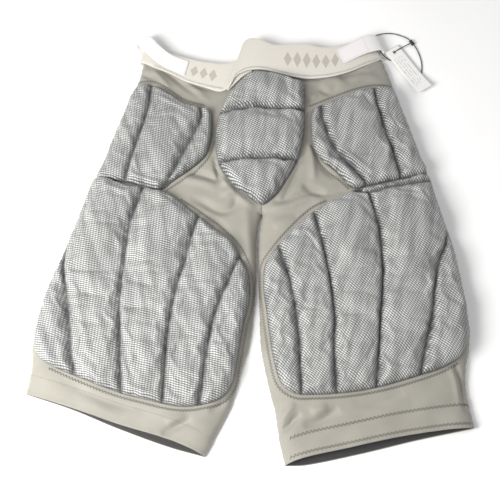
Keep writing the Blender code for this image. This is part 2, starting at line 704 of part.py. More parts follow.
def build_hips(stretch, mesh_knit, foam, elastic, satin, thread):
    """Everything that stays with the waist."""
    sleeve("waistband", [(near, far, top, BAND_BACK_Z) for near, far, top in WAIST], BAND_THICK,
           elastic)
    side_loop("side_loop_left", (-79.0, 243.0), 149.0, 62.0, 15.0, satin)
    side_loop("side_loop_right", (111.0, 257.0), 26.0, 53.0, 16.2, satin)
    fabric_pair("hip_front_fabric", "hip_back_fabric", hip_outline(), HIPS, stretch)
    pad_cover("hip_pad_cover_left", HIP_PAD_LEFT, HIP_CHANNELS_LEFT, HIPS, CHANNEL_RISE, mesh_knit)
    pad_cover("hip_pad_cover_right", HIP_PAD_RIGHT, HIP_CHANNELS_RIGHT, HIPS, CHANNEL_RISE,
              mesh_knit)
    pad_cover("centre_pad_cover", CENTRE_PAD, CENTRE_CHANNELS, HIPS, CENTRE_RISE, mesh_knit)
    pad_foams("hip_foam_left", HIP_CHANNELS_LEFT, HIPS, CHANNEL_RISE, foam)
    pad_foams("hip_foam_right", HIP_CHANNELS_RIGHT, HIPS, CHANNEL_RISE, foam)
    pad_foams("centre_foam", CENTRE_CHANNELS, HIPS, CENTRE_RISE, foam)
    seam("yoke_seam_left", YOKE_SEAM_LEFT, HIPS, thread)
    seam("yoke_seam_right", YOKE_SEAM_RIGHT, HIPS, thread)


def build_leg(tag, side, inner, region, pad, channels, seam_line, materials):
    """One leg with its thigh pad."""
    stretch, mesh_knit, foam, rubber, thread = materials
    fabric_pair(f"leg_front_fabric_{tag}", f"leg_back_fabric_{tag}", leg_outline(side, inner),
                region, stretch)
    pad_cover(f"thigh_pad_cover_{tag}", pad, channels, region, CHANNEL_RISE, mesh_knit)
    pad_foams(f"thigh_foam_{tag}", channels, region, CHANNEL_RISE, foam)
    seam(f"thigh_seam_{tag}", seam_line, region, thread)
    _, _, up_out, up_in = hem_patch(side, inner, HEM_SEAM_UP)
    hem_line = [lerp(up_out, up_in, share) for share in (0.03, 0.06, 0.13, 0.5, 0.87, 0.94, 0.97)]
    seam(f"hem_seam_{tag}", hem_line, region, thread)
    gripper(f"hem_gripper_{tag}", side, inner, region, rubber)


def build_tag(card, plastic):
    """The hang tag on its cord."""
    hang_tag(card)
    tag_lock(plastic)
    tag_pin(plastic)
    tube("tag_cord", smooth(CORD_ROUTE, 3), CORD_RADIUS, plastic)


def main():
    clear_scene()
    stretch = material("stretch_fabric", (0.42, 0.41, 0.36), 0.8)
    mesh_knit = material("mesh_fabric", (0.36, 0.37, 0.38), 0.75)
    foam = material("pad_foam", (0.72, 0.70, 0.62), 0.9)
    elastic = material("elastic_waistband", (0.78, 0.74, 0.66), 0.8)
    satin = material("satin_tape", (0.86, 0.85, 0.82), 0.45)
    thread = material("seam_thread", (0.50, 0.48, 0.43), 0.8)
    black_knit = material("black_gripper_knit", (0.02, 0.02, 0.022), 0.8)
    card = material("tag_card", (0.88, 0.88, 0.86), 0.6)
    plastic = material("black_plastic", (0.015, 0.015, 0.015), 0.4)
    build_hips(stretch, mesh_knit, foam, elastic, satin, thread)
    leg_materials = (stretch, mesh_knit, foam, black_knit, thread)
    build_leg("left", LEG_SIDE_LEFT, LEFT_INNER, LEFT_LEG, THIGH_PAD_LEFT, THIGH_CHANNELS_LEFT,
              THIGH_SEAM_LEFT, leg_materials)
    build_leg("right", LEG_SIDE_RIGHT, RIGHT_INNER, RIGHT_LEG, THIGH_PAD_RIGHT,
              THIGH_CHANNELS_RIGHT, THIGH_SEAM_RIGHT, leg_materials)
    build_tag(card, plastic)


main()
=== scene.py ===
import math

import bmesh
import bpy
import numpy as np
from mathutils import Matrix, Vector
from mathutils.bvhtree import BVHTree
from mathutils.geometry import delaunay_2d_cdt


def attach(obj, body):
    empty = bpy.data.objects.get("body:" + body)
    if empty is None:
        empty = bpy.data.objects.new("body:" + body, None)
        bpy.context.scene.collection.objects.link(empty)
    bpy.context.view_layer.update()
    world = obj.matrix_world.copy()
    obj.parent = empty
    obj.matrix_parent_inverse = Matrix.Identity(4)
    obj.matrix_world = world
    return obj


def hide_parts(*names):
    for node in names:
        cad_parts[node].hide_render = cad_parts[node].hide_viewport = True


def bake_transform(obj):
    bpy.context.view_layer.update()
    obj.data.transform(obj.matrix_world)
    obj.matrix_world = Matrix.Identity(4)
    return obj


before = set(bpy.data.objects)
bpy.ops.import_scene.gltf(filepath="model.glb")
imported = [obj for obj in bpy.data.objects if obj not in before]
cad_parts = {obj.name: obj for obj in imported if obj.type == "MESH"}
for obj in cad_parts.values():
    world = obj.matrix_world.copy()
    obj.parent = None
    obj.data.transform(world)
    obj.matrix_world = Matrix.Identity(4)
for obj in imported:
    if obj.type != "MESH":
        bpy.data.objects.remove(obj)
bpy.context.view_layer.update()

# ---------------------------------------------------------------- driving sizes
# The garment's pattern is drawn in millimetres, X to the right, Y up to the waist, Z off the floor.
# ORIGIN is the pattern's point that lies over the frame's origin.
MM = 0.001
ORIGIN = np.array((3.0, 22.944, 0.0))

SHELL_STEP = 3.4           # spacing of the flat lattices that the fabric is made from
BACK_STEP = 6.0
COVER_STEP = 3.3
TRIM_STEP = 2.0
DOME_EDGE = 2.2            # height of the front fabric on the silhouette, and in the middle
DOME_TOP = 14.4
DOME_REACH = 26.0
SIDE_Z = 1.0               # height of the side fold between front and back fabric
BACK_Z = 0.5
FABRIC_THICK = 0.8
COVER_THICK = 0.7
PAD_RISE = 10.2
CENTRE_RISE = 13.0
PAD_ROUND = 11.0
PAD_LIFT = 0.9             # height of a cover's sewn edge over the fabric
GROOVE_LIFT = 1.6
BLEND_LENGTH = 70.0        # length along a leg of the span that hinge_span gives a fold at the hips; the span is not used
FOAM_SHARE = 0.7           # share of the room under a cover that its foam bar fills
FOAM_EDGE = 11.0           # longest edge that a foam bar's edges are cut down to
FOAM_CLEAR = 0.6           # room between a foam bar and its cover, and between it and the fabric
FOAM_BASE = 0.3

SIM_FRAMES = 14            # cloth simulation of the covers: length, growth of the cloth,
CLOTH_GROWTH = 0.045       # pressure, and the farthest that a point may move
CLOTH_PRESSURE = 40.0
CLOTH_CAP = 5.0

WALE = 2.7                 # spacing of the mesh's stitches along a row
COURSE = 2.5               # spacing of the rows
SLANT = 0.55               # rise of a row for each millimetre along it
MESH_TURN = {"left": -14.0, "right": 12.0, "centre": 4.0}  # how far the knit is turned, in degrees

GRIPPER_HEIGHT = 21.0
GRIPPER_THICK = 0.5
GRIPPER_GRID = (7, 90)     # points up each sheet of the gripper and along it
GRIPPER_SPAN = (0.012, 0.988)
GRIPPER_JOIN = (4.0, 1.9)  # where its two sheets run together at the sides: distance, height

YOKE_STITCH = (2.8, 3.6)   # zigzags: width, length of one stitch to and fro
HIP_STITCH = (2.6, 3.6)
HEM_STITCH = (3.2, 4.4)
BAND_STITCH = (3.0, 2.6)
SMALL_DASH = (1.6, 2.6)    # straight stitches: length, spacing
BOX_DASH = (1.6, 2.4)
THREAD_RADIUS = 0.36

CAMERA_AIM = (0.0, 0.0, 15.0)
CAMERA_DISTANCE = 0.96
CAMERA_ELEVATION = math.radians(70.0)
CAMERA_LENS = 60.0
FLOOR_Z = -0.0004
KEY_LIGHT = ((-0.55, -0.32, 0.65), 0.5, 12.8, (1.0, 0.985, 0.96))  # place, size, power, colour
FILL_LIGHT = ((0.9, 0.7, 1.2), 1.4, 5.0, (0.97, 0.98, 1.0))
SURROUND = 0.42

# ---------------------------------------------------------------- outlines of the garment
SPLIT_LEFT, SPLIT_APEX, SPLIT_RIGHT = (-187, 91), (14, 47), (217, 96)
SIDE_LEFT = [(-135.5, 260), (-137, 252), (-141, 230), (-152, 201), (-168, 155), (-187, 91),
             (-196, 73), (-209, 32), (-219, 0), (-230, -34), (-241, -78), (-245, -112),
             (-243.5, -137), (-247.5, -164)]
SIDE_RIGHT = [(168, 263), (171, 256), (181, 222), (196, 172), (211, 117), (217, 96), (232, 36),
              (240, 2), (246, -50), (249, -90), (246, -115), (240, -140), (239, -164), (244.5, -201)]
INNER_LEFT = [(14, 47), (9.0, 22), (8.2, 0), (8.0, -30), (6.8, -58), (-0.4, -112), (-9.4, -142),
              (-21.4, -182), (-47.4, -232)]
INNER_RIGHT = [(14, 47), (9.3, 22), (8.5, 0), (8.4, -30), (9.6, -70), (11.4, -115), (18.4, -152),
               (26.4, -186), (31, -218), (36.5, -241)]
HEM_FRONT_LEFT = [(-47.4, -232), (-62, -224), (-90, -213), (-140, -198.5), (-195, -180), (-247.5, -164)]
HEM_BACK_LEFT = [(-47.4, -232), (-90, -220.5), (-145, -201), (-195, -181), (-247.5, -164)]
HEM_FRONT_RIGHT = [(36.5, -241), (48, -236), (66, -231), (102, -223.5), (154, -212.5), (206, -204.5),
                   (244.5, -201)]
HEM_BACK_RIGHT = [(36.5, -241), (60, -240), (120, -228), (180, -214), (244.5, -201)]
WAIST_LEFT = [(-135.5, 260), (-118, 250), (-99, 240), (-80, 229), (-58, 221), (-34, 217),
              (-16, 232), (0, 241), (14, 243)]
WAIST_RIGHT = [(14, 243), (26, 241), (49, 235), (68, 232), (86, 233), (105, 236), (125, 242),
               (146, 253), (168, 264)]
WAIST_LINE = WAIST_LEFT + WAIST_RIGHT[1:]
SPLIT = {"left": SPLIT_LEFT, "right": SPLIT_RIGHT}
SIDE = {"left": SIDE_LEFT, "right": SIDE_RIGHT}
INNER = {"left": INNER_LEFT, "right": INNER_RIGHT}
WAIST = {"left": WAIST_LEFT, "right": WAIST_RIGHT[::-1]}
HEMS = {"left": (HEM_FRONT_LEFT, HEM_BACK_LEFT), "right": (HEM_FRONT_RIGHT, HEM_BACK_RIGHT)}

# ---------------------------------------------------------------- pads: outline, then grooves
HIP_LEFT = ([(-146, 209), (-137, 219), (-122, 216.5), (-102, 207), (-82, 193), (-62, 186), (-48, 180),
             (-46, 160), (-48, 138), (-54, 119), (-72, 101), (-92, 86), (-104, 75.5), (-126, 80),
             (-148, 85), (-184, 93), (-176, 118), (-166, 147), (-155, 182)],
            [[(-122, 216.5), (-124, 188), (-130, 160), (-138, 132), (-144, 108), (-148, 85)],
             [(-62, 186), (-60, 170), (-68, 150), (-80, 124), (-92, 98), (-104, 75.5)]])
HIP_RIGHT = ([(76, 183), (87, 189), (117, 202), (145, 211.5), (176, 213), (192, 165), (203, 128),
              (211, 97.5), (179, 89.5), (139, 80), (121, 77), (104, 97), (86, 114), (76, 133)],
             [[(87, 189), (89, 168), (97, 142), (112, 116), (131, 92), (139, 80)],
              [(153, 212.5), (156, 188), (165, 150), (174, 115), (179, 89.5)]])
CENTRE = ([(-21, 209), (-7, 226), (10, 233), (30, 231), (50, 225), (66, 219), (67, 179), (66, 154),
           (62, 132), (57, 113), (40, 82), (28, 66), (14, 57), (-2, 66), (-19, 80), (-37, 107),
           (-42, 146), (-37, 178)],
          [[(-37, 175), (-22, 180), (0, 183), (34, 182), (67, 179)],
           [(-37, 107), (-20, 112), (0, 115), (28, 115), (57, 113)]])
THIGH_LEFT = ([(-186, 91.5), (-148, 83.4), (-126, 78.5), (-104, 73.8), (-86, 63), (-60, 42),
               (-22, 10), (-12, -6), (-4, -22), (0, -36), (-1, -63), (-7, -88), (-15, -133),
               (-21, -157), (-32, -171), (-55, -178.5), (-80, -179.5), (-114, -172), (-139, -166),
               (-190, -147), (-220, -134), (-236, -121), (-240, -100), (-238.5, -80), (-227, -34),
               (-213, 4), (-200, 45)],
              [[(-211, 8), (-212, -20), (-207, -50), (-201, -85), (-197, -118), (-190, -147)],
               [(-126, 78.5), (-133, 55), (-140, 28), (-143, -5), (-146, -61), (-144, -97),
                (-142, -135), (-139, -166)],
               [(-60, 42), (-68, 14), (-76, -20), (-84, -51), (-91, -97), (-93, -140), (-94, -177.5)],
               [(-12, -6), (-21, -30), (-33, -58), (-42, -88), (-49, -130), (-55, -178.5)]])
THIGH_RIGHT = ([(74, 48), (93, 60), (112, 70), (121, 74.5), (139, 78.6), (179, 88), (213, 96),
                (220, 66), (228, 32), (236, -2), (241, -34), (244, -66), (243.5, -93), (240, -108),
                (230, -126), (207, -139), (185, -146), (172, -150), (137, -159.5), (103, -165),
                (69, -167), (49, -166), (34, -154.5), (26, -129), (21, -97), (18, -70), (14.8, -42),
                (17.5, -16), (32, 6), (50, 26)],
               [[(121, 72), (139, 71), (170, 78.5), (218, 87.5)],
                [(229, 28), (224, 4), (216, -16), (208, -48), (204, -73), (196, -104), (185, -146)],
                [(139, 71), (146, 46), (150, 14), (150, -40), (145, -79), (142, -112), (137, -159.5)],
                [(74, 48), (79, 28), (86, -6), (91, -42), (94, -79), (92, -118), (94, -165.5)],
                [(32, 6), (38, -12), (45, -36), (51, -72), (54, -105), (56, -167)]])

# ---------------------------------------------------------------- wrinkles: line, height, half width
FOLD_GAIN = 1.9
FOLDS = [
    ([(-41, 124), (-39, 108), (-35, 88)], -5.0, 3.0),
    ([(-36, 122), (-33, 104), (-28, 86), (-12, 66), (6, 54)], 2.2, 4.0),
    ([(-78, 99), (-60, 97), (-46, 92), (-35, 87)], -3.0, 3.4),
    ([(-80, 91), (-58, 86), (-40, 80)], 1.6, 4.5),
    ([(-70, 66), (-56, 60), (-38, 50), (-24, 50), (-17, 58), (-15, 72)], -2.6, 4.5),
    ([(-26, 66), (-28, 78)], 1.8, 6.0),
    ([(-70, 52), (-40, 38), (-22, 14), (-10, -10)], -1.4, 3.2),
    ([(-4, 60), (-2, 30), (0, 0), (2, -30)], 1.6, 6.0),
    ([(54, 112), (44, 88), (33, 64)], 2.4, 3.0),
    ([(60, 110), (50, 88), (38, 64)], -2.4, 3.0),
    ([(70, 140), (74, 118), (76, 88)], 2.8, 4.0),
    ([(84, 118), (90, 104), (104, 92)], -1.8, 4.0),
    ([(62, 82), (74, 77), (88, 71)], -3.2, 4.0),
    ([(20, 61), (42, 63), (67, 73), (86, 70.5), (118, 77)], -2.0, 2.4),
    ([(24, 53), (46, 55), (68, 64), (88, 63)], 2.2, 5.0),
    ([(26, 30), (40, 36), (52, 40)], 1.2, 6.0),
    ([(-123, 241), (-110, 226), (-98, 213)], 2.2, 3.0),
    ([(-114, 243), (-98, 232), (-80, 217), (-62, 203)], -2.4, 4.0),
    ([(-100, 238), (-80, 224), (-60, 205), (-50, 195)], 1.6, 4.0),
    ([(-82, 224), (-66, 217), (-48, 211)], -1.8, 2.6),
    ([(-138, 240), (-130, 234), (-118, 227)], -2.8, 2.6),
    ([(74, 206), (84, 214), (98, 208), (110, 215)], -2.4, 4.0),
    ([(88, 222), (104, 226), (120, 220)], 1.6, 4.5),
    ([(112, 226), (128, 236), (148, 240)], -2.2, 4.5),
    ([(124, 224), (142, 230), (160, 230)], 1.6, 4.0),
    ([(76, 198), (82, 206)], 1.4, 3.0),
    ([(33, -208), (43, -198), (54, -187)], -3.0, 2.6),
    ([(30, -196), (40, -186), (48, -176)], 1.8, 3.6),
    ([(58, -200), (75, -195), (96, -182)], -2.4, 4.5),
    ([(66, -186), (84, -180)], 1.6, 4.5),
    ([(110, -174), (140, -176), (168, -166)], -1.0, 5.0),
    ([(224, -130), (230, -150), (232, -172), (235, -186)], -2.8, 2.4),
    ([(219, -134), (225, -154), (227, -180)], 1.4, 3.5),
    ([(-94, -208), (-80, -201), (-62, -193)], -2.4, 3.6),
    ([(-90, -197), (-70, -189)], 1.4, 4.0),
    ([(-44, -184), (-34, -178), (-24, -166)], -2.0, 3.0),
    ([(-206, -152), (-150, -176), (-110, -184)], -0.8, 4.0),
    ([(-190, -170), (-140, -190)], 0.7, 6.0),
]

# ---------------------------------------------------------------- seams on the front fabric
YOKE_LEFT = [(-141, 224), (-134, 225), (-118, 222), (-100, 211.5), (-81, 197.5), (-55, 189)]
YOKE_RIGHT = [(73, 188), (86, 194), (116, 207), (146, 217), (176, 218)]
THIGH_SEAM_LEFT = [(-82, 64), (-56, 46), (-18, 14), (-2, -14), (3.5, -34), (3, -63), (-3, -88),
                   (-11, -134), (-17, -160), (-30, -175), (-56, -182.5), (-80, -183.5),
                   (-115, -176), (-150, -166.5), (-194, -149.5), (-221, -137.5)]
THIGH_SEAM_RIGHT = [(90, 62), (71, 52), (45, 27), (26, 4), (13, -16), (11, -42), (14, -70),
                    (17, -98), (22, -130), (30, -157), (47, -170), (69, -171), (103, -169),
                    (138, -163.5), (173, -154.5), (209, -142.5), (229, -132)]
HIP_SEAM_LEFT = [(-43, 140), (-50, 118), (-68, 98), (-88, 83), (-100, 74.5)]
HIP_SEAM_RIGHT = [(72, 134), (82, 112), (100, 94), (117, 77)]

# ---------------------------------------------------------------- waistband, a folded ribbon
# Each station: lower edge, upper edge, height of the middle of the elastic.
BAND_THICK = 1.3
BAND_BACK = [((-140, 256), (-132, 283), 4.0), ((-134, 252), (-127, 278), 1.5),
             ((-100, 234), (-93, 260), 1.2), ((-58, 216), (-52, 250), 1.2),
             ((-16, 224), (-10, 262), 1.2), ((49, 226), (46, 264), 1.2), ((105, 229), (104, 264), 1.2),
             ((160, 254), (150, 280), 1.5), ((168, 259), (155.5, 285), 4.0)]
BAND_FRONT = [((166, 259), (154.5, 287), 8.0), ((145, 247.5), (142, 288), 13.0),
              ((125.7, 237.5), (126, 279.4), 15.0), ((106.6, 231), (107, 273), 15.6),
              ((87.5, 227.5), (89.5, 272), 15.8), ((69, 226.4), (72, 276.5), 16.2),
              ((50, 229.7), (50.5, 275.8), 16.8), ((26, 236.3), (30, 274.5), 17.6),
              ((12, 238.5), (17, 280), 18.2), ((-4, 236.5), (2, 284), 18.4),
              ((-17, 228.5), (-7, 279), 18.2), ((-25, 214), (-10, 271), 18.0),
              ((-27.5, 209.5), (-11, 267), 16.8)]
BAND_HIDDEN = [((-24, 213), (-8, 262), 15.8), ((-8, 231), (4, 262), 15.4), ((2, 238), (11, 264), 14.6),
               ((-8, 231), (0, 262), 13.8)]
BAND_LEFT = [((-34, 210), (-27, 249.5), 13.8), ((-58, 216), (-52, 251), 13.8),
             ((-80, 224), (-72, 255), 13.8), ((-100, 235), (-93, 262), 13.6),
             ((-122, 246), (-114, 273), 11.5), ((-136, 255), (-128, 282), 7.0)]
BAND = BAND_BACK + BAND_FRONT + BAND_HIDDEN + BAND_LEFT
BAND_BARS = ((372.0, 444.0), (600.0, 636.0))  # where the woven lozenges lie along the elastic

# Side loops: satin ribbons in the same form, from the stitched end round the side and back.
LOOP_THICK = 0.7
LOOP_LEFT = [((-81.5, 231.5), (-76.5, 252), 15.2), ((-92, 236), (-86, 255.5), 15.6),
             ((-104, 241.5), (-97, 260.5), 16.0), ((-116, 249), (-107, 267), 17.0),
             ((-126, 258), (-116, 275), 18.2), ((-135, 267.5), (-124, 284), 18.6),
             ((-142, 275.5), (-130.5, 289.5), 16.0), ((-144.5, 277.5), (-133.5, 291), 11.0),
             ((-143, 274), (-134, 289), 6.0), ((-138, 266), (-130, 284), 2.8),
             ((-130, 258), (-122, 277), 2.9), ((-120, 252), (-112, 271), 3.0)]
LOOP_RIGHT = [((117.5, 247.5), (109.5, 268), 17.0), ((128, 253), (120, 273.5), 17.0),
              ((139, 259), (131, 281), 17.0), ((150, 264), (142, 287.5), 16.8),
              ((160, 267.5), (152.5, 290.5), 15.6), ((168, 270), (161, 291.5), 12.0),
              ((171, 271), (164, 292), 7.0), ((168, 270.5), (161, 291.5), 3.2),
              ((158, 266.5), (150, 288), 2.6), ((147, 261), (139, 282), 2.9)]

# ---------------------------------------------------------------- hang tag
CORD_ROUTE = [(210.6, 284.9, 1.6), (213.4, 279.5, 1.2), (217, 269, 0.8), (218.8, 258, 0.7),
              (218, 246, 0.7), (216.6, 236, 0.7), (216.6, 228.5, 0.7), (214.8, 223.6, 0.7),
              (210.9, 222.8, 0.7), (206.6, 227.2, 0.7), (203, 235.5, 0.7), (197.8, 246.5, 0.7),
              (191, 256.4, 0.7), (184.3, 261.4, 0.7), (176.8, 263.8, 0.8), (172, 267.4, 1.9),
              (168.6, 270.6, 3.6), (165.2, 275, 5.4), (162.2, 281, 6.2), (159.2, 286.6, 5.7),
              (157.4, 291.3, 4.4), (159, 296.2, 2.8), (164, 300, 1.6), (171.8, 302.4, 0.9),
              (179.6, 303.2, 0.7), (187.8, 302, 0.7), (195.2, 299.2, 0.9), (201, 296, 1.3),
              (205.4, 292.2, 1.6)]
CORD_DIAMETER = 0.0012
PIN_ROUTE = [(205.0, 286.3, 3.0), (201.0, 283.8, 3.5), (195.0, 280.1, 3.9), (188.9, 276.3, 4.0),
             (185.9, 274.4, 3.6), (184.9, 273.8, 2.4), (184.9, 273.8, 1.4)]
TAG_HOLE = (184.9, 273.8)
TAG_SIZE = (73.0, 21.0)
TAG_INSET = 7.0
TAG_ANGLE = math.radians(-58.0)
TAG_Z = 2.25
TAG_THICK = 0.45
TAG_CORNER = 2.5
TAG_HOLE_RADIUS = 2.0
TAG_CURL = (22.0, 30.0, 1.4)  # where the curl starts along the card, its run and its height
LOCK_CENTRE = (208.0, 288.2, 2.1)
LOCK_SIZE = (7.0, 4.6, 3.6)
LOCK_ANGLE = math.radians(-60.0)
LOCK_SIDES = 20
LOCK_SQUARE = 0.6          # power that makes the barrel's round section a little square
LOCK_PROFILE = [(-0.5, 0.72), (-0.5, 0.92), (-0.44, 1.0), (-0.34, 1.0), (-0.28, 0.84), (0.28, 0.84),
                (0.34, 1.0), (0.44, 1.0), (0.5, 0.92), (0.5, 0.72)]


# ---------------------------------------------------------------- curves and flat geometry
def curve_through(points, step, closed=False):
    """Evenly spaced points along a smooth curve through the given ones."""
    pts = np.array(points, float)
    if closed:
        ring = np.vstack([pts[-1:], pts, pts[:2]])
    else:
        ring = np.vstack([2 * pts[:1] - pts[1:2], pts, 2 * pts[-1:] - pts[-2:-1]])
    fine = []
    t = np.linspace(0, 1, 10, endpoint=False)[:, None]
    for a, b, c, d in zip(ring, ring[1:], ring[2:], ring[3:]):
        before, here, after = (np.linalg.norm(q - p) for p, q in ((a, b), (b, c), (c, d)))
        start = (c - a) * here / (before + here)
        end = (d - b) * here / (here + after)
        fine.append(b * (2 * t**3 - 3 * t**2 + 1) + start * (t**3 - 2 * t**2 + t)
                    + c * (3 * t**2 - 2 * t**3) + end * (t**3 - t**2))
    line = np.vstack(fine + [pts[:1] if closed else pts[-1:]])
    along = np.concatenate([[0], np.cumsum(np.linalg.norm(np.diff(line, axis=0), axis=1))])
    count = max(2, round(along[-1] / step) + 1)
    where = np.linspace(0, along[-1], count)
    even = np.column_stack([np.interp(where, along, line[:, k]) for k in range(line.shape[1])])
    return even[:-1] if closed else even


def distance_to(points, line, closed=False):
    """Shortest distance of each flat point from a line, and how far along the line that is, 0 to 1."""
    line = np.asarray(line, float)
    ends = np.roll(line, -1, 0) if closed else line[1:]
    best = np.full(len(points), 1e9)
    along = np.zeros(len(points))
    for number, (a, b) in enumerate(zip(line, ends)):
        run = b - a
        share = np.clip((points - a) @ run / max(run @ run, 1e-9), 0, 1)
        away = np.linalg.norm(points - a - share[:, None] * run, axis=1)
        nearer = away < best
        best[nearer] = away[nearer]
        along[nearer] = (number + share[nearer]) / len(ends)
    return best, along


def is_inside(points, loop):
    """Which flat points lie within a closed outline."""
    hit = np.zeros(len(points), bool)
    x, y = points[:, 0], points[:, 1]
    for a, b in zip(loop, np.roll(loop, -1, 0)):
        if a[1] == b[1]:
            continue
        between = (a[1] > y) != (b[1] > y)
        hit ^= between & (x < a[0] + (y - a[1]) * (b[0] - a[0]) / (b[1] - a[1]))
    return hit


def smooth_step(value):
    """0 to 1 with level ends."""
    value = np.clip(value, 0, 1)
    return value * value * (3 - 2 * value)


def turned(x, y, angle):
    """Flat coordinates turned about their origin."""
    c, s = math.cos(angle), math.sin(angle)
    return x * c - y * s, x * s + y * c


def even_ring(ring, step):
    """A closed line with even points along each of its edges."""
    points = []
    for a, b in zip(ring, np.roll(ring, -1, 0)):
        parts = max(1, round(np.linalg.norm(b - a) / step))
        points += [a + (b - a) * t for t in np.arange(0, 1, 1 / parts)]
    return np.array(points)


def lattice(outline, lines, step):
    """Even triangles within an outline, with edges along it and along the inner lines."""
    low, high = outline.min(0), outline.max(0)
    rows = np.arange(low[1], high[1], step * math.sqrt(0.75))
    columns = np.arange(low[0], high[0], step)
    grid = np.array([(x + (i % 2) * step / 2, y) for i, y in enumerate(rows) for x in columns])
    keep = is_inside(grid, outline) & (distance_to(grid, outline, True)[0] > 0.6 * step)
    for line in lines:
        keep &= distance_to(grid, line)[0] > 0.6 * step
    corners, edges = [], []
    for chain in [np.vstack([outline, outline[:1]]), *lines]:
        base = len(corners)
        corners += [Vector(p) for p in chain]
        edges += [(base + i, base + i + 1) for i in range(len(chain) - 1)]
    corners += [Vector(p) for p in grid[keep]]
    verts, _, faces, _, _, _ = delaunay_2d_cdt(corners, edges, [], 0, 1e-3)
    flat = np.array([tuple(v) for v in verts])
    faces = np.array(faces)
    return flat, faces[is_inside(flat[faces].mean(1), outline)]


# ---------------------------------------------------------------- meshes
def to_frame(points):
    """Pattern millimetres to the frame's metres."""
    return (np.asarray(points, float) - ORIGIN) * MM


def add_object(name, data):
    """A new object in the scene."""
    obj = bpy.data.objects.new(name, data)
    bpy.context.scene.collection.objects.link(obj)
    return obj


def new_object(name, points, faces, uv=None, material=None):
    """A smooth mesh object from pattern points, with UVs in metres of cloth."""
    data = bpy.data.meshes.new(name)
    data.from_pydata([tuple(p) for p in to_frame(points)], [], [tuple(int(i) for i in f) for f in faces])
    if uv is not None:
        layer = data.uv_layers.new(name="cloth")
        index = np.zeros(len(data.loops), int)
        data.loops.foreach_get("vertex_index", index)
        layer.data.foreach_set("uv", (np.asarray(uv)[index] * MM).astype(np.float32).ravel())
    data.shade_smooth()
    if material:
        data.materials.append(material)
    return add_object(name, data)


def weld(obj, distance=0.02):
    """Merges the vertices that two sheets share, and turns the faces outward."""
    mesh = bmesh.new()
    mesh.from_mesh(obj.data)
    bmesh.ops.remove_doubles(mesh, verts=mesh.verts, dist=distance * MM)
    bmesh.ops.recalc_face_normals(mesh, faces=mesh.faces)
    mesh.to_mesh(obj.data)
    mesh.free()
    obj.data.shade_smooth()
    return obj


def face_up(obj):
    """Turns the faces of an open sheet so that they look up."""
    mesh = bmesh.new()
    mesh.from_mesh(obj.data)
    down = [f for f in mesh.faces if f.normal.z < 0]
    bmesh.ops.reverse_faces(mesh, faces=down)
    mesh.to_mesh(obj.data)
    mesh.free()
    return obj


def settle(obj):
    """Puts the object's modifiers into its mesh."""
    bpy.context.view_layer.update()
    graph = bpy.context.evaluated_depsgraph_get()
    data = bpy.data.meshes.new_from_object(obj.evaluated_get(graph), depsgraph=graph)
    old = obj.data
    obj.modifiers.clear()
    obj.data = data
    bpy.data.meshes.remove(old)
    data.name = obj.name
    data.shade_smooth()
    return obj


def subdivide(obj):
    """Rounds a sheet off between its points."""
    modifier = obj.modifiers.new("subdivision", "SUBSURF")
    modifier.levels = modifier.render_levels = 1
    modifier.boundary_smooth = "PRESERVE_CORNERS"


def thicken(obj, thick):
    """Gives a sheet its thickness on the side away from its normals."""
    modifier = obj.modifiers.new("thickness", "SOLIDIFY")
    modifier.thickness = thick * MM
    modifier.offset = -1.0


def surface_of(obj):
    """A search tree of a finished object, in pattern millimetres."""
    co = np.zeros(len(obj.data.vertices) * 3)
    obj.data.vertices.foreach_get("co", co)
    points = co.reshape(-1, 3) / MM + ORIGIN
    return BVHTree.FromPolygons([Vector(p) for p in points], [tuple(p.vertices) for p in obj.data.polygons])


def height_on(trees, point, default=0.0):
    """Height of the highest surface under a flat point."""
    found = default
    for tree in trees:
        for off_x, off_y in ((0.0, 0.0), (0.07, 0.03), (-0.04, 0.06), (0.5, -0.4), (-0.5, 0.4)):
            start = Vector((point[0] + off_x, point[1] + off_y, 60.0))
            hit = tree.ray_cast(start, Vector((0, 0, -1)))
            if hit[0] is not None:
                found = max(found, hit[0].z)
                break
    return found


def tube_mesh(points, radius, sides=5):
    """Vertices and faces of a closed tube along a line of points."""
    points = np.asarray(points, float)
    run = np.gradient(points, axis=0)
    run /= np.maximum(np.linalg.norm(run, axis=1), 1e-9)[:, None]
    side = np.cross(run, (0.0, 0.0, 1.0))
    length = np.linalg.norm(side, axis=1)
    side[length < 1e-6] = (1.0, 0.0, 0.0)
    side /= np.maximum(np.linalg.norm(side, axis=1), 1e-9)[:, None]
    up = np.cross(side, run)
    verts = []
    for k in range(sides):
        angle = math.tau * k / sides
        verts.append(points + radius * (math.cos(angle) * side + math.sin(angle) * up))
    verts = np.stack(verts, 1).reshape(-1, 3)
    faces = []
    for i in range(len(points) - 1):
        for k in range(sides):
            a, b = i * sides + k, i * sides + (k + 1) % sides
            faces.append((a, b, b + sides, a + sides))
    faces.append(tuple(reversed(range(sides))))
    last = (len(points) - 1) * sides
    faces.append(tuple(range(last, last + sides)))
    return verts, faces


def tubes_object(name, lines, radius, material, sides=5):
    """One object made of several thread tubes."""
    verts, faces, base = [], [], 0
    for line in lines:
        some, more = tube_mesh(line, radius, sides)
        verts.append(some)
        faces += [tuple(base + i for i in face) for face in more]
        base += len(some)
    verts = np.vstack(verts)
    return new_object(name, verts, faces, verts[:, :2], material)


# ---------------------------------------------------------------- the front fabric's height
def run_on(points, length=60.0):
    """A line carried straight on past both its ends."""
    pts = np.array(points, float)
    first = pts[0] + (pts[0] - pts[1]) / np.linalg.norm(pts[0] - pts[1]) * length
    last = pts[-1] + (pts[-1] - pts[-2]) / np.linalg.norm(pts[-1] - pts[-2]) * length
    return np.vstack([first, pts, last])


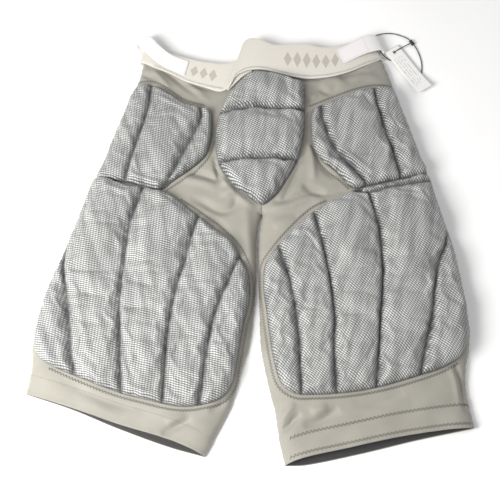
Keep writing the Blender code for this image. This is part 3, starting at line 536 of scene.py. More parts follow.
EDGE_LINES = [run_on(curve_through(SIDE_LEFT, 8)), run_on(curve_through(SIDE_RIGHT, 8)),
              np.vstack([curve_through(INNER_LEFT, 8), (-75, -290)]),
              np.vstack([curve_through(INNER_RIGHT, 8), (52, -300)])]
PADS = {"hip_left": HIP_LEFT, "hip_right": HIP_RIGHT, "centre": CENTRE, "thigh_left": THIGH_LEFT,
        "thigh_right": THIGH_RIGHT}
PAD_LOOPS = {name: curve_through(pad[0], 4, closed=True) for name, pad in PADS.items()}


def dome(flat):
    """Height of the smooth front fabric: round over at the silhouette, level in the middle."""
    depth = np.min([distance_to(flat, line)[0] for line in EDGE_LINES], axis=0)
    share = 1 - np.clip(depth / DOME_REACH, 0, 1)
    return DOME_EDGE + (DOME_TOP - DOME_EDGE) * np.sqrt(1 - share**2)


def wrinkles(flat):
    """Height of the folds, which fade out at their ends and under the pads."""
    lift = np.zeros(len(flat))
    for points, height, width in FOLDS:
        away, along = distance_to(flat, curve_through(points, 4))
        fade = np.sin(math.pi * np.clip(along, 0, 1)) ** 0.6
        lift += FOLD_GAIN * height * np.exp(-(away / width) ** 2) * fade
    clear = np.full(len(flat), 1e9)
    for loop in PAD_LOOPS.values():
        away = distance_to(flat, loop, True)[0]
        clear = np.minimum(clear, np.where(is_inside(flat, loop), 0.0, away))
    return lift * smooth_step(clear / 5.0)


def front_height(flat):
    """Height of the front fabric's outer face, tucked in under the waistband."""
    waist = distance_to(flat, curve_through(WAIST_LINE, 6))[0]
    tuck = 2.6 * (1 - smooth_step((waist - 4.0) / 8.0))
    hem = np.min([distance_to(flat, curve_through(line, 6))[0]
                  for line in (HEMS["left"][0], HEMS["right"][0])], axis=0)
    roll = 0.5 * np.exp(-(hem / 2.0) ** 2)
    ripple = 0.35 * np.sin(flat[:, 0] * 0.16 + 2 * np.sin(flat[:, 1] * 0.05)) * np.sin(flat[:, 1] * 0.11)
    return dome(flat) + wrinkles(flat) - tuck + roll + ripple


# ---------------------------------------------------------------- fabric shell
def shell_half(side, outline_front, outline_back, shared, material):
    """One half of the garment's fabric: front and back sheet, joined at the side and inner leg."""
    front, front_faces = lattice(outline_front, [], SHELL_STEP)
    back, back_faces = lattice(outline_back, [], BACK_STEP)
    on_front = np.min([distance_to(front, line)[0] for line in shared], axis=0) < 0.05
    on_back = np.min([distance_to(back, line)[0] for line in shared], axis=0) < 0.05
    front_z = np.where(on_front, SIDE_Z, front_height(front))
    edge = np.min([distance_to(back, line)[0] for line in shared], axis=0)
    back_z = np.where(on_back, SIDE_Z, BACK_Z + 0.35 * (1 - smooth_step(edge / 6.0)))
    points = np.vstack([np.column_stack([front, front_z]), np.column_stack([back, back_z])])
    faces = np.vstack([front_faces, back_faces + len(front)])
    uv = np.vstack([front, back * (-1, 1)])
    obj = new_object(f"shell_{side}", points, faces, uv, material)
    weld(obj)
    subdivide(obj)
    thicken(obj, FABRIC_THICK)
    return settle(obj)


def shell_outlines(side):
    """The front and back outlines of one half, with the lines where the two sheets join."""
    side_line = curve_through(SIDE[side], SHELL_STEP)
    inner = curve_through(INNER[side], SHELL_STEP)
    waist = curve_through(WAIST[side], SHELL_STEP)
    centre = curve_through([waist[-1], SPLIT_APEX], SHELL_STEP)
    outlines = []
    for line in HEMS[side]:
        hem = curve_through(line, SHELL_STEP)
        outlines.append(np.vstack([waist[:-1], centre[:-1], inner[:-1], hem[:-1], side_line[::-1][:-1]]))
    return outlines[0], outlines[1], (side_line, inner)


# ---------------------------------------------------------------- pads
def crumple(flat):
    """How much wider or narrower than usual a channel rounds over, as the mesh lies unevenly."""
    x, y = flat[:, 0], flat[:, 1]
    wide = np.sin(0.13 * y + 2.2 * np.sin(0.055 * x))
    fine = np.sin(0.33 * y + 0.19 * x)
    return 1.0 + 0.34 * wide + 0.18 * fine


def cover_start(flat, loop, grooves, rise):
    """The cover before it is inflated: a rounded channel between every two sewn lines."""
    sewn = distance_to(flat, loop, True)[0]
    groove = np.min([distance_to(flat, line)[0] for line in grooves], axis=0)
    near = np.minimum(sewn, groove)
    share = 1 - np.clip(near / (PAD_ROUND * crumple(flat)), 0, 1)
    lift = PAD_LIFT + (GROOVE_LIFT - PAD_LIFT) * (sewn > 0.1)
    return dome(flat) + lift + rise * np.sqrt(1 - share**2), sewn, groove


def inflate(obj, pinned):
    """Cloth held at its sewn lines and blown up, so that it swells and puckers along them."""
    group = obj.vertex_groups.new(name="sewn")
    group.add([int(i) for i in pinned], 1.0, "REPLACE")
    start = np.zeros(len(obj.data.vertices) * 3)
    obj.data.vertices.foreach_get("co", start)
    modifier = obj.modifiers.new("cloth", "CLOTH")
    cloth = modifier.settings
    cloth.quality = 5
    cloth.mass = 0.15
    cloth.air_damping = 3.0
    cloth.tension_stiffness = cloth.compression_stiffness = 12.0
    cloth.shear_stiffness = 4.0
    cloth.bending_stiffness = 0.15
    cloth.shrink_min = -CLOTH_GROWTH
    cloth.use_pressure = True
    cloth.uniform_pressure_force = CLOTH_PRESSURE
    cloth.vertex_group_mass = "sewn"
    cloth.effector_weights.gravity = 0.0
    modifier.point_cache.frame_start = 1
    modifier.point_cache.frame_end = SIM_FRAMES
    for number in range(1, SIM_FRAMES + 1):
        bpy.context.scene.frame_set(number)
    graph = bpy.context.evaluated_depsgraph_get()
    moved = np.zeros(len(start))
    obj.evaluated_get(graph).data.vertices.foreach_get("co", moved)
    obj.modifiers.remove(modifier)
    bpy.context.scene.frame_set(1)
    shift = (moved - start).reshape(-1, 3)
    length = np.linalg.norm(shift, axis=1)
    shift *= np.minimum(1.0, CLOTH_CAP * MM / np.maximum(length, 1e-9))[:, None]
    obj.data.vertices.foreach_set("co", (start.reshape(-1, 3) + shift).ravel())
    obj.data.update()


def pad_cover(name, key, rise, turn, material):
    """A mesh cover over its foam channels."""
    loop = curve_through(PADS[key][0], COVER_STEP, closed=True)
    grooves = [curve_through(line, COVER_STEP) for line in PADS[key][1]]
    flat, faces = lattice(loop, grooves, COVER_STEP)
    z, sewn, groove = cover_start(flat, loop, grooves, rise)
    uv = np.column_stack(turned(flat[:, 0], flat[:, 1], math.radians(turn)))
    obj = new_object(name, np.column_stack([flat, z]), faces, uv, material)
    face_up(obj)
    inflate(obj, np.nonzero(np.minimum(sewn, groove) < 0.05)[0])
    # Distance from the sewn lines, which the mesh material turns into painted shade in the grooves.
    depth = obj.data.attributes.new("groove", "FLOAT", "POINT")
    depth.data.foreach_set("value", np.minimum(sewn * 1.6, groove).astype(np.float32))
    subdivide(obj)
    thicken(obj, COVER_THICK)
    return settle(obj)


def foam_piece(node, cover, shell, material):
    """A foam bar: the CAD node's own shape, fitted between the inflated cover and the fabric."""
    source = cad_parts[node]
    obj = add_object(node.replace("foam", "foam_bar"), source.data.copy())
    obj.data.materials.clear()
    obj.data.materials.append(material)
    mesh = bmesh.new()
    mesh.from_mesh(obj.data)
    bmesh.ops.remove_doubles(mesh, verts=mesh.verts, dist=0.01 * MM)
    bmesh.ops.triangulate(mesh, faces=mesh.faces)
    for _ in range(5):
        long = [edge for edge in mesh.edges if edge.calc_length() > FOAM_EDGE * MM]
        bmesh.ops.subdivide_edges(mesh, edges=long, cuts=1)
        bmesh.ops.triangulate(mesh, faces=mesh.faces)
    mesh.to_mesh(obj.data)
    mesh.free()
    for vert in obj.data.vertices:
        flat = (vert.co.x / MM + ORIGIN[0], vert.co.y / MM + ORIGIN[1])
        top = height_on([cover], flat, 0.0) - COVER_THICK - FOAM_CLEAR
        base = height_on([shell], flat, 0.0) + FOAM_BASE
        vert.co.z = (base + FOAM_SHARE * max(min(vert.co.z / MM, top) - base, 0.0)) * MM
    obj.data.shade_smooth()
    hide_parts(node)
    return obj


# ---------------------------------------------------------------- ribbons: waistband and loops
def ribbon(name, stations, thick, step, material, closed=False, across=8):
    """An even ribbon through stations that give its two edges and its height."""
    low = np.array([(*lower, z) for lower, _, z in stations], float)
    high = np.array([(*upper, z) for _, upper, z in stations], float)
    both = curve_through(np.hstack([low, high]), step, closed)
    low, high = both[:, :3], both[:, 3:]
    middle = (low + high) / 2
    along = np.concatenate([[0], np.cumsum(np.linalg.norm(np.diff(middle, axis=0), axis=1))])
    points, uv = [], []
    for k in range(across + 1):
        share = k / across
        points.append(low + (high - low) * share)
        uv.append(np.column_stack([along, np.full(len(low), share * 40.0)]))
    points = np.stack(points, 1).reshape(-1, 3)
    uv = np.stack(uv, 1).reshape(-1, 2)
    faces = []
    rows = len(low)
    for i in range(rows if closed else rows - 1):
        j = (i + 1) % rows
        for k in range(across):
            a, b = i * (across + 1) + k, j * (across + 1) + k
            faces.append((a, b, b + 1, a + 1))
    obj = new_object(name, points, faces, uv, material)
    modifier = obj.modifiers.new("thickness", "SOLIDIFY")
    modifier.thickness = thick * MM
    modifier.offset = 0.0
    bevel = obj.modifiers.new("edges", "BEVEL")
    bevel.width = 0.25 * thick * MM
    bevel.segments = 2
    return settle(obj)


# ---------------------------------------------------------------- stitching
def zigzag(line, width, pitch, surfaces, lift=0.45, dip=0.3):
    """A zigzag thread on a surface: it crosses from needle line to needle line."""
    middle = curve_through(line, pitch / 2)
    run = np.gradient(middle, axis=0)
    run /= np.linalg.norm(run, axis=1)[:, None]
    normal = np.column_stack([-run[:, 1], run[:, 0]])
    sign = np.where(np.arange(len(middle)) % 2, 1.0, -1.0)
    corners = middle + normal * sign[:, None] * width / 2
    points = []
    for a, b in zip(corners, corners[1:]):
        for share, sink in ((0.0, dip), (0.25, 0.0), (0.75, 0.0)):
            p = a + (b - a) * share
            points.append((p[0], p[1], height_on(surfaces, p) + lift - sink))
    return np.array(points)


def dashes(line, dash, pitch, surfaces, lift=0.18):
    """Short straight stitches in a row."""
    middle = curve_through(line, pitch)
    stitches = []
    for a, b in zip(middle, middle[1:]):
        some = []
        for share, sink in ((0.0, 0.5), (0.2, 0.05), (0.5, 0.0), (0.8, 0.05), (1.0, 0.5)):
            p = a + (b - a) * share * dash / pitch
            some.append((p[0], p[1], height_on(surfaces, p) + lift - sink))
        stitches.append(np.array(some))
    return stitches


# ---------------------------------------------------------------- materials
class Nodes:
    """A small helper that adds shader nodes and links them."""

    def __init__(self, name, color, roughness):
        self.material = bpy.data.materials.new(name)
        self.material.use_nodes = True
        self.tree = self.material.node_tree
        self.shader = self.tree.nodes["Principled BSDF"]
        self.shader.inputs["Base Color"].default_value = (*color, 1.0)
        self.shader.inputs["Roughness"].default_value = roughness

    def add(self, kind, **settings):
        node = self.tree.nodes.new(kind)
        for key, value in settings.items():
            setattr(node, key, value)
        return node

    def link(self, source, target):
        self.tree.links.new(source, target)

    def math(self, operation, a, b=0.0, c=None):
        """One step of arithmetic on sockets or plain numbers."""
        node = self.add("ShaderNodeMath", operation=operation)
        for slot, value in enumerate((a, b) if c is None else (a, b, c)):
            if isinstance(value, (int, float)):
                node.inputs[slot].default_value = value
            else:
                self.link(value, node.inputs[slot])
        return node.outputs[0]

    def times(self, a, b):
        return self.math("MULTIPLY", a, b)

    def wave(self, value, period):
        """A sine with a period in the value's own units."""
        return self.math("SINE", self.times(value, math.tau / period))

    def lifted(self, value, scale=0.5, base=0.5):
        """A value scaled and raised, as it stands for a wave that then runs from 0 to 1."""
        return self.math("MULTIPLY_ADD", value, scale, base)

    def between(self, value, low, high):
        """1 where a value lies between two others, and 0 elsewhere."""
        return self.times(self.math("GREATER_THAN", value, low), self.math("LESS_THAN", value, high))

    def coordinates(self, source="uv"):
        """Cloth coordinates in millimetres, from the UVs or from the object's own space."""
        if source == "uv":
            base = self.add("ShaderNodeUVMap", uv_map="cloth").outputs[0]
        else:
            base = self.add("ShaderNodeTexCoord").outputs["Object"]
        mapping = self.add("ShaderNodeMapping")
        mapping.inputs["Scale"].default_value = (1 / MM, 1 / MM, 1 / MM)
        self.link(base, mapping.inputs["Vector"])
        return mapping.outputs[0]

    def split(self, vector):
        """The first two parts of a vector."""
        node = self.add("ShaderNodeSeparateXYZ")
        self.link(vector, node.inputs[0])
        return node.outputs[0], node.outputs[1]

    def noise(self, vector, scale, detail=3.0):
        """A smooth random value from 0 to 1."""
        node = self.add("ShaderNodeTexNoise")
        node.inputs["Scale"].default_value = scale
        node.inputs["Detail"].default_value = detail
        self.link(vector, node.inputs["Vector"])
        return node.outputs["Fac"]

    def ramp(self, value, stops):
        """A colour that follows a value."""
        node = self.add("ShaderNodeValToRGB")
        elements = node.color_ramp.elements
        while len(elements) < len(stops):
            elements.new(0.5)
        for element, (place, color) in zip(elements, stops):
            element.position = place
            element.color = (*color, 1.0)
        self.link(value, node.inputs[0])
        return node.outputs[0]

    def mix(self, share, a, b, mode="MIX"):
        """Two colours mixed by a share."""
        node = self.add("ShaderNodeMix", data_type="RGBA", blend_type=mode)
        for slot, value in ((0, share), (6, a), (7, b)):
            if isinstance(value, (int, float)):
                node.inputs[slot].default_value = value
            elif isinstance(value, tuple):
                node.inputs[slot].default_value = (*value, 1.0)
            else:
                self.link(value, node.inputs[slot])
        return node.outputs[2]

    def bump(self, height, distance, strength):
        """A normal that follows a height, with the bump's depth in metres."""
        node = self.add("ShaderNodeBump")
        node.inputs["Distance"].default_value = distance
        node.inputs["Strength"].default_value = strength
        self.link(height, node.inputs["Height"])
        return node.outputs[0]

    def done(self, color=None, normal=None, roughness=None, sheen=0.0, specular=0.4):
        """Links what was made to the shader, and gives the material."""
        self.shader.inputs["Sheen Weight"].default_value = sheen
        self.shader.inputs["Sheen Roughness"].default_value = 0.5
        self.shader.inputs["Specular IOR Level"].default_value = specular
        for value, name in ((color, "Base Color"), (normal, "Normal"), (roughness, "Roughness")):
            if value is not None:
                self.link(value, self.shader.inputs[name])
        return self.material


def spandex_material():
    """Smooth warm-grey stretch knit: very fine ribs, soft sheen, slight shade changes."""
    n = Nodes("spandex", (0.40, 0.385, 0.335), 0.62)
    at = n.coordinates()
    u, v = n.split(at)
    knit = n.times(n.math("ADD", n.wave(u, 0.9), n.wave(v, 0.7)), 0.5)
    cloud = n.noise(at, 0.03)
    grain = n.noise(at, 1.4, 2.0)
    color = n.ramp(cloud, [(0.3, (0.275, 0.264, 0.229)), (0.7, (0.332, 0.319, 0.277))])
    color = n.mix(n.times(grain, 0.22), color, (0.25, 0.24, 0.21))
    normal = n.bump(n.math("ADD", knit, grain), 0.00012, 0.5)
    rough = n.lifted(grain, 0.12, 0.52)
    return n.done(color, normal, rough, sheen=0.25, specular=0.45)


def mesh_material():
    """Silver-grey mesh: slanted rows of light stitches, painted shade near black in and beside the sewn
    grooves, and painted shade in broad soft bands along the channels.
    """
    n = Nodes("tricot_mesh", (0.36, 0.37, 0.37), 0.6)
    at = n.coordinates()
    wander = n.times(n.noise(at, 0.045, 2.0), 2.2)
    u, v = n.split(at)
    rise = n.times(u, SLANT)
    row = n.math("ADD", n.math("DIVIDE", n.math("ADD", v, rise), COURSE), wander)
    stitch = n.lifted(n.wave(row, 1.0))
    column = n.math("SUBTRACT", n.math("DIVIDE", u, WALE), n.times(row, 0.25))
    beads = n.lifted(n.wave(column, 1.0))
    yarn = n.times(stitch, n.lifted(beads, 0.6, 0.4))
    # Painted shade in the grooves: darkest on the sewn lines, fading over a reach that noise widens in
    # places.
    groove = n.add("ShaderNodeAttribute", attribute_name="groove", attribute_type="GEOMETRY")
    streak = n.noise(at, 0.16, 3.0)
    reach = n.math("MAXIMUM", n.lifted(streak, 13.0, -2.9), 1.0)
    dark = n.math("SUBTRACT", 1.0, n.math("DIVIDE", groove.outputs["Fac"], reach))
    dark = n.math("MAXIMUM", dark, 0.0)
    color = n.ramp(yarn, [(0.0, (0.10, 0.105, 0.11)), (0.22, (0.24, 0.245, 0.245)),
                          (0.5, (0.48, 0.49, 0.48)), (0.9, (0.80, 0.81, 0.79))])
    patch = n.noise(at, 0.022, 2.0)
    color = n.mix(n.times(patch, 0.4), color, (0.42, 0.41, 0.39), "MULTIPLY")
    # Painted shade: soft darker bands stretched along the channels, where the mesh wrinkles.
    stretch = n.add("ShaderNodeMapping")
    stretch.inputs["Scale"].default_value = (1.0, 0.16, 1.0)
    n.link(at, stretch.inputs["Vector"])
    shade = n.ramp(n.noise(stretch.outputs[0], 0.11, 2.0),
                   [(0.36, (0.66, 0.665, 0.67)), (0.58, (1.0, 1.0, 1.0))])
    color = n.mix(1.0, color, shade, "MULTIPLY")
    # Painted shade: the mesh goes near black in and beside the sewn grooves.
    color = n.mix(n.times(dark, 0.85), color, (0.045, 0.047, 0.05))
    normal = n.bump(yarn, 0.0005, 0.5)
    rough = n.lifted(yarn, -0.15, 0.6)
    return n.done(color, normal, rough, sheen=0.15, specular=0.5)


def elastic_material():
    """Cream elastic: a fine weave, a lighter lower edge and two runs of plain woven lozenges."""
    n = Nodes("elastic", (0.80, 0.77, 0.70), 0.75)
    at = n.coordinates()
    u, v = n.split(at)
    weave = n.lifted(n.times(n.wave(v, 1.1), n.wave(u, 0.8)))
    grain = n.noise(at, 0.6, 2.0)
    color = n.ramp(grain, [(0.3, (0.62, 0.595, 0.535)), (0.7, (0.69, 0.665, 0.605))])
    across = n.math("ABSOLUTE", n.math("SUBTRACT", n.math("FRACT", n.math("DIVIDE", u, 12.0)), 0.5))
    upright = n.math("ABSOLUTE", n.math("DIVIDE", n.math("SUBTRACT", v, 21.0), 11.0))
    bars = n.math("LESS_THAN", n.math("ADD", n.times(across, 2.0), upright), 0.86)
    runs = n.math("ADD", n.between(u, *BAND_BARS[0]), n.between(u, *BAND_BARS[1]))
    color = n.mix(n.times(n.times(bars, runs), 0.85), color, (0.44, 0.41, 0.35))
    edge = n.math("LESS_THAN", v, 5.0)
    color = n.mix(n.times(edge, 0.6), color, (0.72, 0.70, 0.65))
    normal = n.bump(weave, 0.00025, 0.6)
    return n.done(color, normal, None, sheen=0.1, specular=0.3)


def satin_material():
    """White satin tape: fine ribs across and a soft silky gloss."""
    n = Nodes("satin", (0.86, 0.845, 0.85), 0.42)
    at = n.coordinates()
    rib = n.wave(n.split(at)[0], 0.7)
    grain = n.noise(at, 0.8, 2.0)
    color = n.ramp(grain, [(0.3, (0.77, 0.75, 0.755)), (0.7, (0.84, 0.82, 0.82))])
    rough = n.lifted(grain, 0.15, 0.34)
    return n.done(color, n.bump(rib, 0.00008, 0.5), rough, sheen=0.2, specular=0.5)


def thread_material(name, color):
    """Twisted polyester thread."""
    n = Nodes(name, color, 0.6)
    at = n.coordinates("object")
    twist = n.noise(at, 3.0, 2.0)
    dark = tuple(c * 0.6 for c in color)
    shade = n.ramp(twist, [(0.3, dark), (0.7, color)])
    return n.done(shade, n.bump(twist, 0.0001, 0.6), None, sheen=0.1, specular=0.4)


def gripper_material():
    """Black knitted band with small light dots in rows."""
    n = Nodes("gripper_knit", (0.02, 0.02, 0.022), 0.75)
    at = n.coordinates()
    u, v = n.split(at)
    weave = n.lifted(n.times(n.wave(u, 2.4), n.wave(v, 1.6)))
    bright = n.math("GREATER_THAN", weave, 0.72)
    color = n.mix(n.times(bright, 0.7), (0.018, 0.018, 0.02), (0.24, 0.235, 0.23))
    return n.done(color, n.bump(weave, 0.0004, 0.7), None, sheen=0.2, specular=0.3)


def foam_material():
    """Off-white open-cell foam."""
    n = Nodes("foam", (0.72, 0.70, 0.62), 0.9)
    at = n.coordinates("object")
    cells = n.add("ShaderNodeTexVoronoi")
    cells.inputs["Scale"].default_value = 1.6
    n.link(at, cells.inputs["Vector"])
    color = n.ramp(cells.outputs["Distance"], [(0.0, (0.50, 0.48, 0.42)), (0.5, (0.74, 0.72, 0.64))])
    return n.done(color, n.bump(cells.outputs["Distance"], 0.0004, 0.6), None, specular=0.2)


def card_material():
    """White tag card with a few plain grey bars printed on it."""
    n = Nodes("tag_card", (0.86, 0.86, 0.85), 0.5)
    at = n.coordinates()
    u, v = n.split(at)
    grain = n.noise(at, 0.9, 3.0)
    color = n.ramp(grain, [(0.3, (0.77, 0.765, 0.75)), (0.7, (0.83, 0.825, 0.81))])
    lines = n.math("LESS_THAN", n.math("FRACT", n.math("DIVIDE", v, 3.4)), 0.34)
    area = n.times(n.between(u, 8.0, 56.0), n.between(v, -7.0, 7.0))
    broken = n.math("GREATER_THAN", n.noise(at, 0.35, 0.0), 0.46)
    ink = n.times(n.times(lines, area), broken)
    color = n.mix(n.times(ink, 0.55), color, (0.34, 0.34, 0.35))
    return n.done(color, n.bump(grain, 0.00005, 0.4), None, specular=0.45)


def plastic_material():
    """Black moulded plastic and cord, lightly scuffed."""
    n = Nodes("black_plastic", (0.016, 0.016, 0.018), 0.4)
    at = n.coordinates("object")
    scuff = n.noise(at, 1.2, 4.0)
    color = n.ramp(scuff, [(0.4, (0.014, 0.014, 0.016)), (0.8, (0.05, 0.05, 0.055))])
    rough = n.lifted(scuff, 0.25, 0.28)
    return n.done(color, n.bump(scuff, 0.00005, 0.4), rough, specular=0.5)


def floor_material():
    """Matt pale floor."""
    n = Nodes("floor_paint", (0.93, 0.93, 0.93), 0.9)
    grain = n.noise(n.coordinates("object"), 0.01, 2.0)
    color = n.ramp(grain, [(0.3, (0.92, 0.92, 0.92)), (0.7, (0.94, 0.94, 0.94))])
    return n.done(color, None, None, specular=0.1)


# ---------------------------------------------------------------- camera, light and floor
def add_camera():
    """The camera looks at the middle of the garment from its lower end."""
    aim = Vector(to_frame(CAMERA_AIM))
    back = Vector((0.0, -math.cos(CAMERA_ELEVATION), math.sin(CAMERA_ELEVATION)))
    data = bpy.data.cameras.new("camera")
    data.lens = CAMERA_LENS
    data.sensor_width = 36.0
    camera = add_object("camera", data)
    camera.location = aim + back * CAMERA_DISTANCE
    camera.rotation_euler = back.to_track_quat("Z", "Y").to_euler()
    bpy.context.scene.camera = camera


def area_light(name, place, size, power, color):
    """A square light that looks at the origin."""
    data = bpy.data.lights.new(name, "AREA")
    data.size = size
    data.energy = power
    data.color = color
    light = add_object(name, data)
    light.location = place
    light.rotation_euler = Vector(place).to_track_quat("Z", "Y").to_euler()


def add_studio():
    """Pale floor, a wide key light on the left and a bright even surround."""
    mesh = bmesh.new()
    bmesh.ops.create_grid(mesh, x_segments=8, y_segments=8, size=4.0)
    data = bpy.data.meshes.new("floor")
    mesh.to_mesh(data)
    mesh.free()
    data.materials.append(floor_material())
    floor = add_object("floor", data)
    floor.location = (0, 0, FLOOR_Z)
    area_light("key", *KEY_LIGHT)
    area_light("fill", *FILL_LIGHT)
    world = bpy.data.worlds.new("surround")
    world.use_nodes = True
    surround = world.node_tree.nodes["Background"]
    surround.inputs[0].default_value = (1.0, 1.0, 1.0, 1.0)
    surround.inputs[1].default_value = SURROUND
    bpy.context.scene.world = world
    bpy.context.scene.view_settings.view_transform = "Standard"


# ---------------------------------------------------------------- putting the garment together
def hinge_span(side):
    """Start and end of the bend between the hips and a leg, square to the leg's split line."""
    outer = np.array(SPLIT[side], float)
    apex = np.array(SPLIT_APEX, float)
    run = (apex - outer) / np.linalg.norm(apex - outer)
    down = np.array((run[1], -run[0]))
    down *= -math.copysign(1.0, down[1])
    start = to_frame((*apex, 15.0))
    end = to_frame((*(apex + down * BLEND_LENGTH), 15.0))
    return tuple(start), tuple(end)


def bend(obj, side):
    """Bakes a piece's placing into its mesh; the span of the bend at the hips is worked out but not used."""
    start, end = hinge_span(side)
    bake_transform(obj)


def declare(obj, body, nodes):
    """Hangs a piece on its body's empty, and hides the CAD nodes that it stands for."""
    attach(obj, body)
    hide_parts(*nodes)
    return obj


def build_cord(plastic):
    """The tag's cord, a curve on the route of its CAD solid."""
    curve = bpy.data.curves.new("tag_loop_cord", "CURVE")
    curve.dimensions = "3D"
    curve.bevel_depth = CORD_DIAMETER / 2
    curve.bevel_resolution = 3
    curve.use_fill_caps = True
    line = curve_through(CORD_ROUTE, 3.0)
    spline = curve.splines.new("POLY")
    spline.points.add(len(line) - 1)
    for slot, point in zip(spline.points, to_frame(line)):
        slot.co = (*point, 1.0)
    curve.materials.append(plastic)
    return declare(add_object("tag_loop_cord", curve), "hips", ["tag_cord"])


def build_lock(plastic):
    """Barrel lock: a rounded body with a raised collar at each end."""
    mesh = bmesh.new()
    length, width, height = LOCK_SIZE
    rings = []
    for along, scale in LOCK_PROFILE:
        ring = []
        for k in range(LOCK_SIDES):
            angle = math.tau * k / LOCK_SIDES
            c, s = math.cos(angle), math.sin(angle)
            y = math.copysign(abs(c) ** LOCK_SQUARE, c) * width / 2 * scale
            z = math.copysign(abs(s) ** LOCK_SQUARE, s) * height / 2 * scale
            x, y = turned(along * length, y, LOCK_ANGLE)
            place = (LOCK_CENTRE[0] + x, LOCK_CENTRE[1] + y, LOCK_CENTRE[2] + z)
            ring.append(mesh.verts.new(to_frame(place)))
        rings.append(ring)
    for near, far in zip(rings, rings[1:]):
        for k in range(LOCK_SIDES):
            j = (k + 1) % LOCK_SIDES
            mesh.faces.new((near[k], near[j], far[j], far[k]))
    mesh.faces.new(list(reversed(rings[0])))
    mesh.faces.new(rings[-1])
    bmesh.ops.recalc_face_normals(mesh, faces=mesh.faces)
    data = bpy.data.meshes.new("tag_barrel_lock")
    mesh.to_mesh(data)
    mesh.free()
    data.shade_smooth()
    data.materials.append(plastic)
    return declare(add_object("tag_barrel_lock", data), "hips", ["tag_lock"])


def build_pin(plastic):
    """The pin that runs from the lock through the card's hole."""
    line = curve_through(PIN_ROUTE, 0.8)
    pin = tubes_object("tag_fastener_pin", [line], 0.6, plastic, sides=10)
    return declare(pin, "hips", ["tag_pin"])


def card_outline():
    """The card's edge with rounded corners, about its hole as the origin."""
    low, high = TAG_CORNER - TAG_INSET, TAG_SIZE[0] - TAG_INSET - TAG_CORNER
    half = TAG_SIZE[1] / 2 - TAG_CORNER
    outline = []
    for cx, cy, first in ((high, half, 0), (low, half, 90), (low, -half, 180), (high, -half, 270)):
        for k in range(5):
            angle = math.radians(first + 22.5 * k)
            outline.append((cx + TAG_CORNER * math.cos(angle), cy + TAG_CORNER * math.sin(angle)))
    return np.array(outline)


def build_tag(card):
    """The card: rounded corners, a punched hole and a slight curl."""
    angles = np.arange(20) * math.tau / 20
    hole = TAG_HOLE_RADIUS * np.column_stack([np.cos(angles), np.sin(angles)])
    flat, faces = lattice(even_ring(card_outline(), TRIM_STEP), [np.vstack([hole, hole[:1]])], TRIM_STEP)
    faces = faces[~is_inside(flat[faces].mean(1), hole)]
    used = np.unique(faces)
    renumber = np.zeros(len(flat), int)
    renumber[used] = np.arange(len(used))
    flat, faces = flat[used], renumber[faces]
    x, y = turned(flat[:, 0], flat[:, 1], TAG_ANGLE)
    curl_start, curl_run, curl_height = TAG_CURL
    past = np.maximum(flat[:, 0] - curl_start, 0.0)
    z = TAG_Z + TAG_THICK + curl_height * (past / curl_run) ** 3
    tag = new_object("printed_tag", np.column_stack([TAG_HOLE[0] + x, TAG_HOLE[1] + y, z]), faces, flat, card)
    face_up(tag)
    thicken(tag, TAG_THICK)
    return declare(settle(tag), "tag", ["hang_tag"])


def build_shell(side, material):
    """One half of the fabric, which stands for its leg's two nodes and one of the hips' two."""
    front, back, shared = shell_outlines(side)
    shell = shell_half(side, front, back, shared, material)
    nodes = [f"leg_front_fabric_{side}", f"leg_back_fabric_{side}"]
    nodes.append("hip_front_fabric" if side == "left" else "hip_back_fabric")
    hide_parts(*nodes)
    return shell


def gripper_sheet(side, layer):
    """Points and cloth coordinates of the gripper's front sheet, layer 0, or its back sheet, layer 1."""
    rows, columns = GRIPPER_GRID
    outer, inner = np.array(SIDE[side][-1], float), np.array(INNER[side][-1], float)
    ups = []
    for line, corner in ((SIDE[side], outer), (INNER[side], inner)):
        up = np.array(line[-2], float) - corner
        ups.append(up * GRIPPER_HEIGHT / np.linalg.norm(up))
    share = np.linspace(*GRIPPER_SPAN, columns)
    line = curve_through(HEMS[side][layer], 2.0)
    where = share * (len(line) - 1)
    base = np.column_stack([np.interp(where, np.arange(len(line)), line[:, k]) for k in (0, 1)])
    up = ups[1] * (1 - share[:, None]) + ups[0] * share[:, None]
    edge = np.minimum(share, 1 - share) * np.linalg.norm(inner - outer)
    reach, side_z = GRIPPER_JOIN
    points, uv = [], []
    for r in range(rows):
        flat = base + up * (r + 0.25) / rows
        if layer == 0:
            z = np.maximum(front_height(flat) - FABRIC_THICK - GRIPPER_THICK, 2.4)
        else:
            z = np.full(columns, BACK_Z + FABRIC_THICK + GRIPPER_THICK)
        z = np.where(edge < reach, side_z + (z - side_z) * edge / reach, z)
        points.append(np.column_stack([flat, z]))
        uv.append(np.column_stack([share * 200.0, np.full(columns, r * 3.0)]))
    return points, uv


def gripper_faces():
    """Faces of both sheets of a gripper and of the strips that join them at the sides."""
    rows, columns = GRIPPER_GRID
    faces = []
    for layer in range(2):
        for r in range(rows - 1):
            for k in range(columns - 1):
                a = (layer * rows + r) * columns + k
                faces.append((a, a + 1, a + columns + 1, a + columns))
    for r in range(rows - 1):
        for k in (0, columns - 1):
            a = r * columns + k
            b = (rows + r) * columns + k
            faces.append((a, a + columns, b + columns, b))
    return faces


def build_gripper(side, material):
    """Knitted band inside the hem, on the back fabric and under the front one."""
    front, front_uv = gripper_sheet(side, 0)
    back, back_uv = gripper_sheet(side, 1)
    obj = new_object(f"gripper_band_{side}", np.vstack(front + back), gripper_faces(),
                     np.vstack(front_uv + back_uv), material)
    weld(obj, 0.01)
    thicken(obj, GRIPPER_THICK)
    return declare(settle(obj), f"{side}_leg", [f"hem_gripper_{side}"])


def hem_row(side, up):
    """A line across the front of a leg, a little up from its hem."""
    return curve_through(HEMS[side][0], 6.0)[1:-1] + np.array((0.0, 1.0)) * up


def band_row(stations, share):
    """A line along the elastic, a share of its width up from its lower edge."""
    return [tuple(np.array(low) * (1 - share) + np.array(high) * share) for low, high, _ in stations]


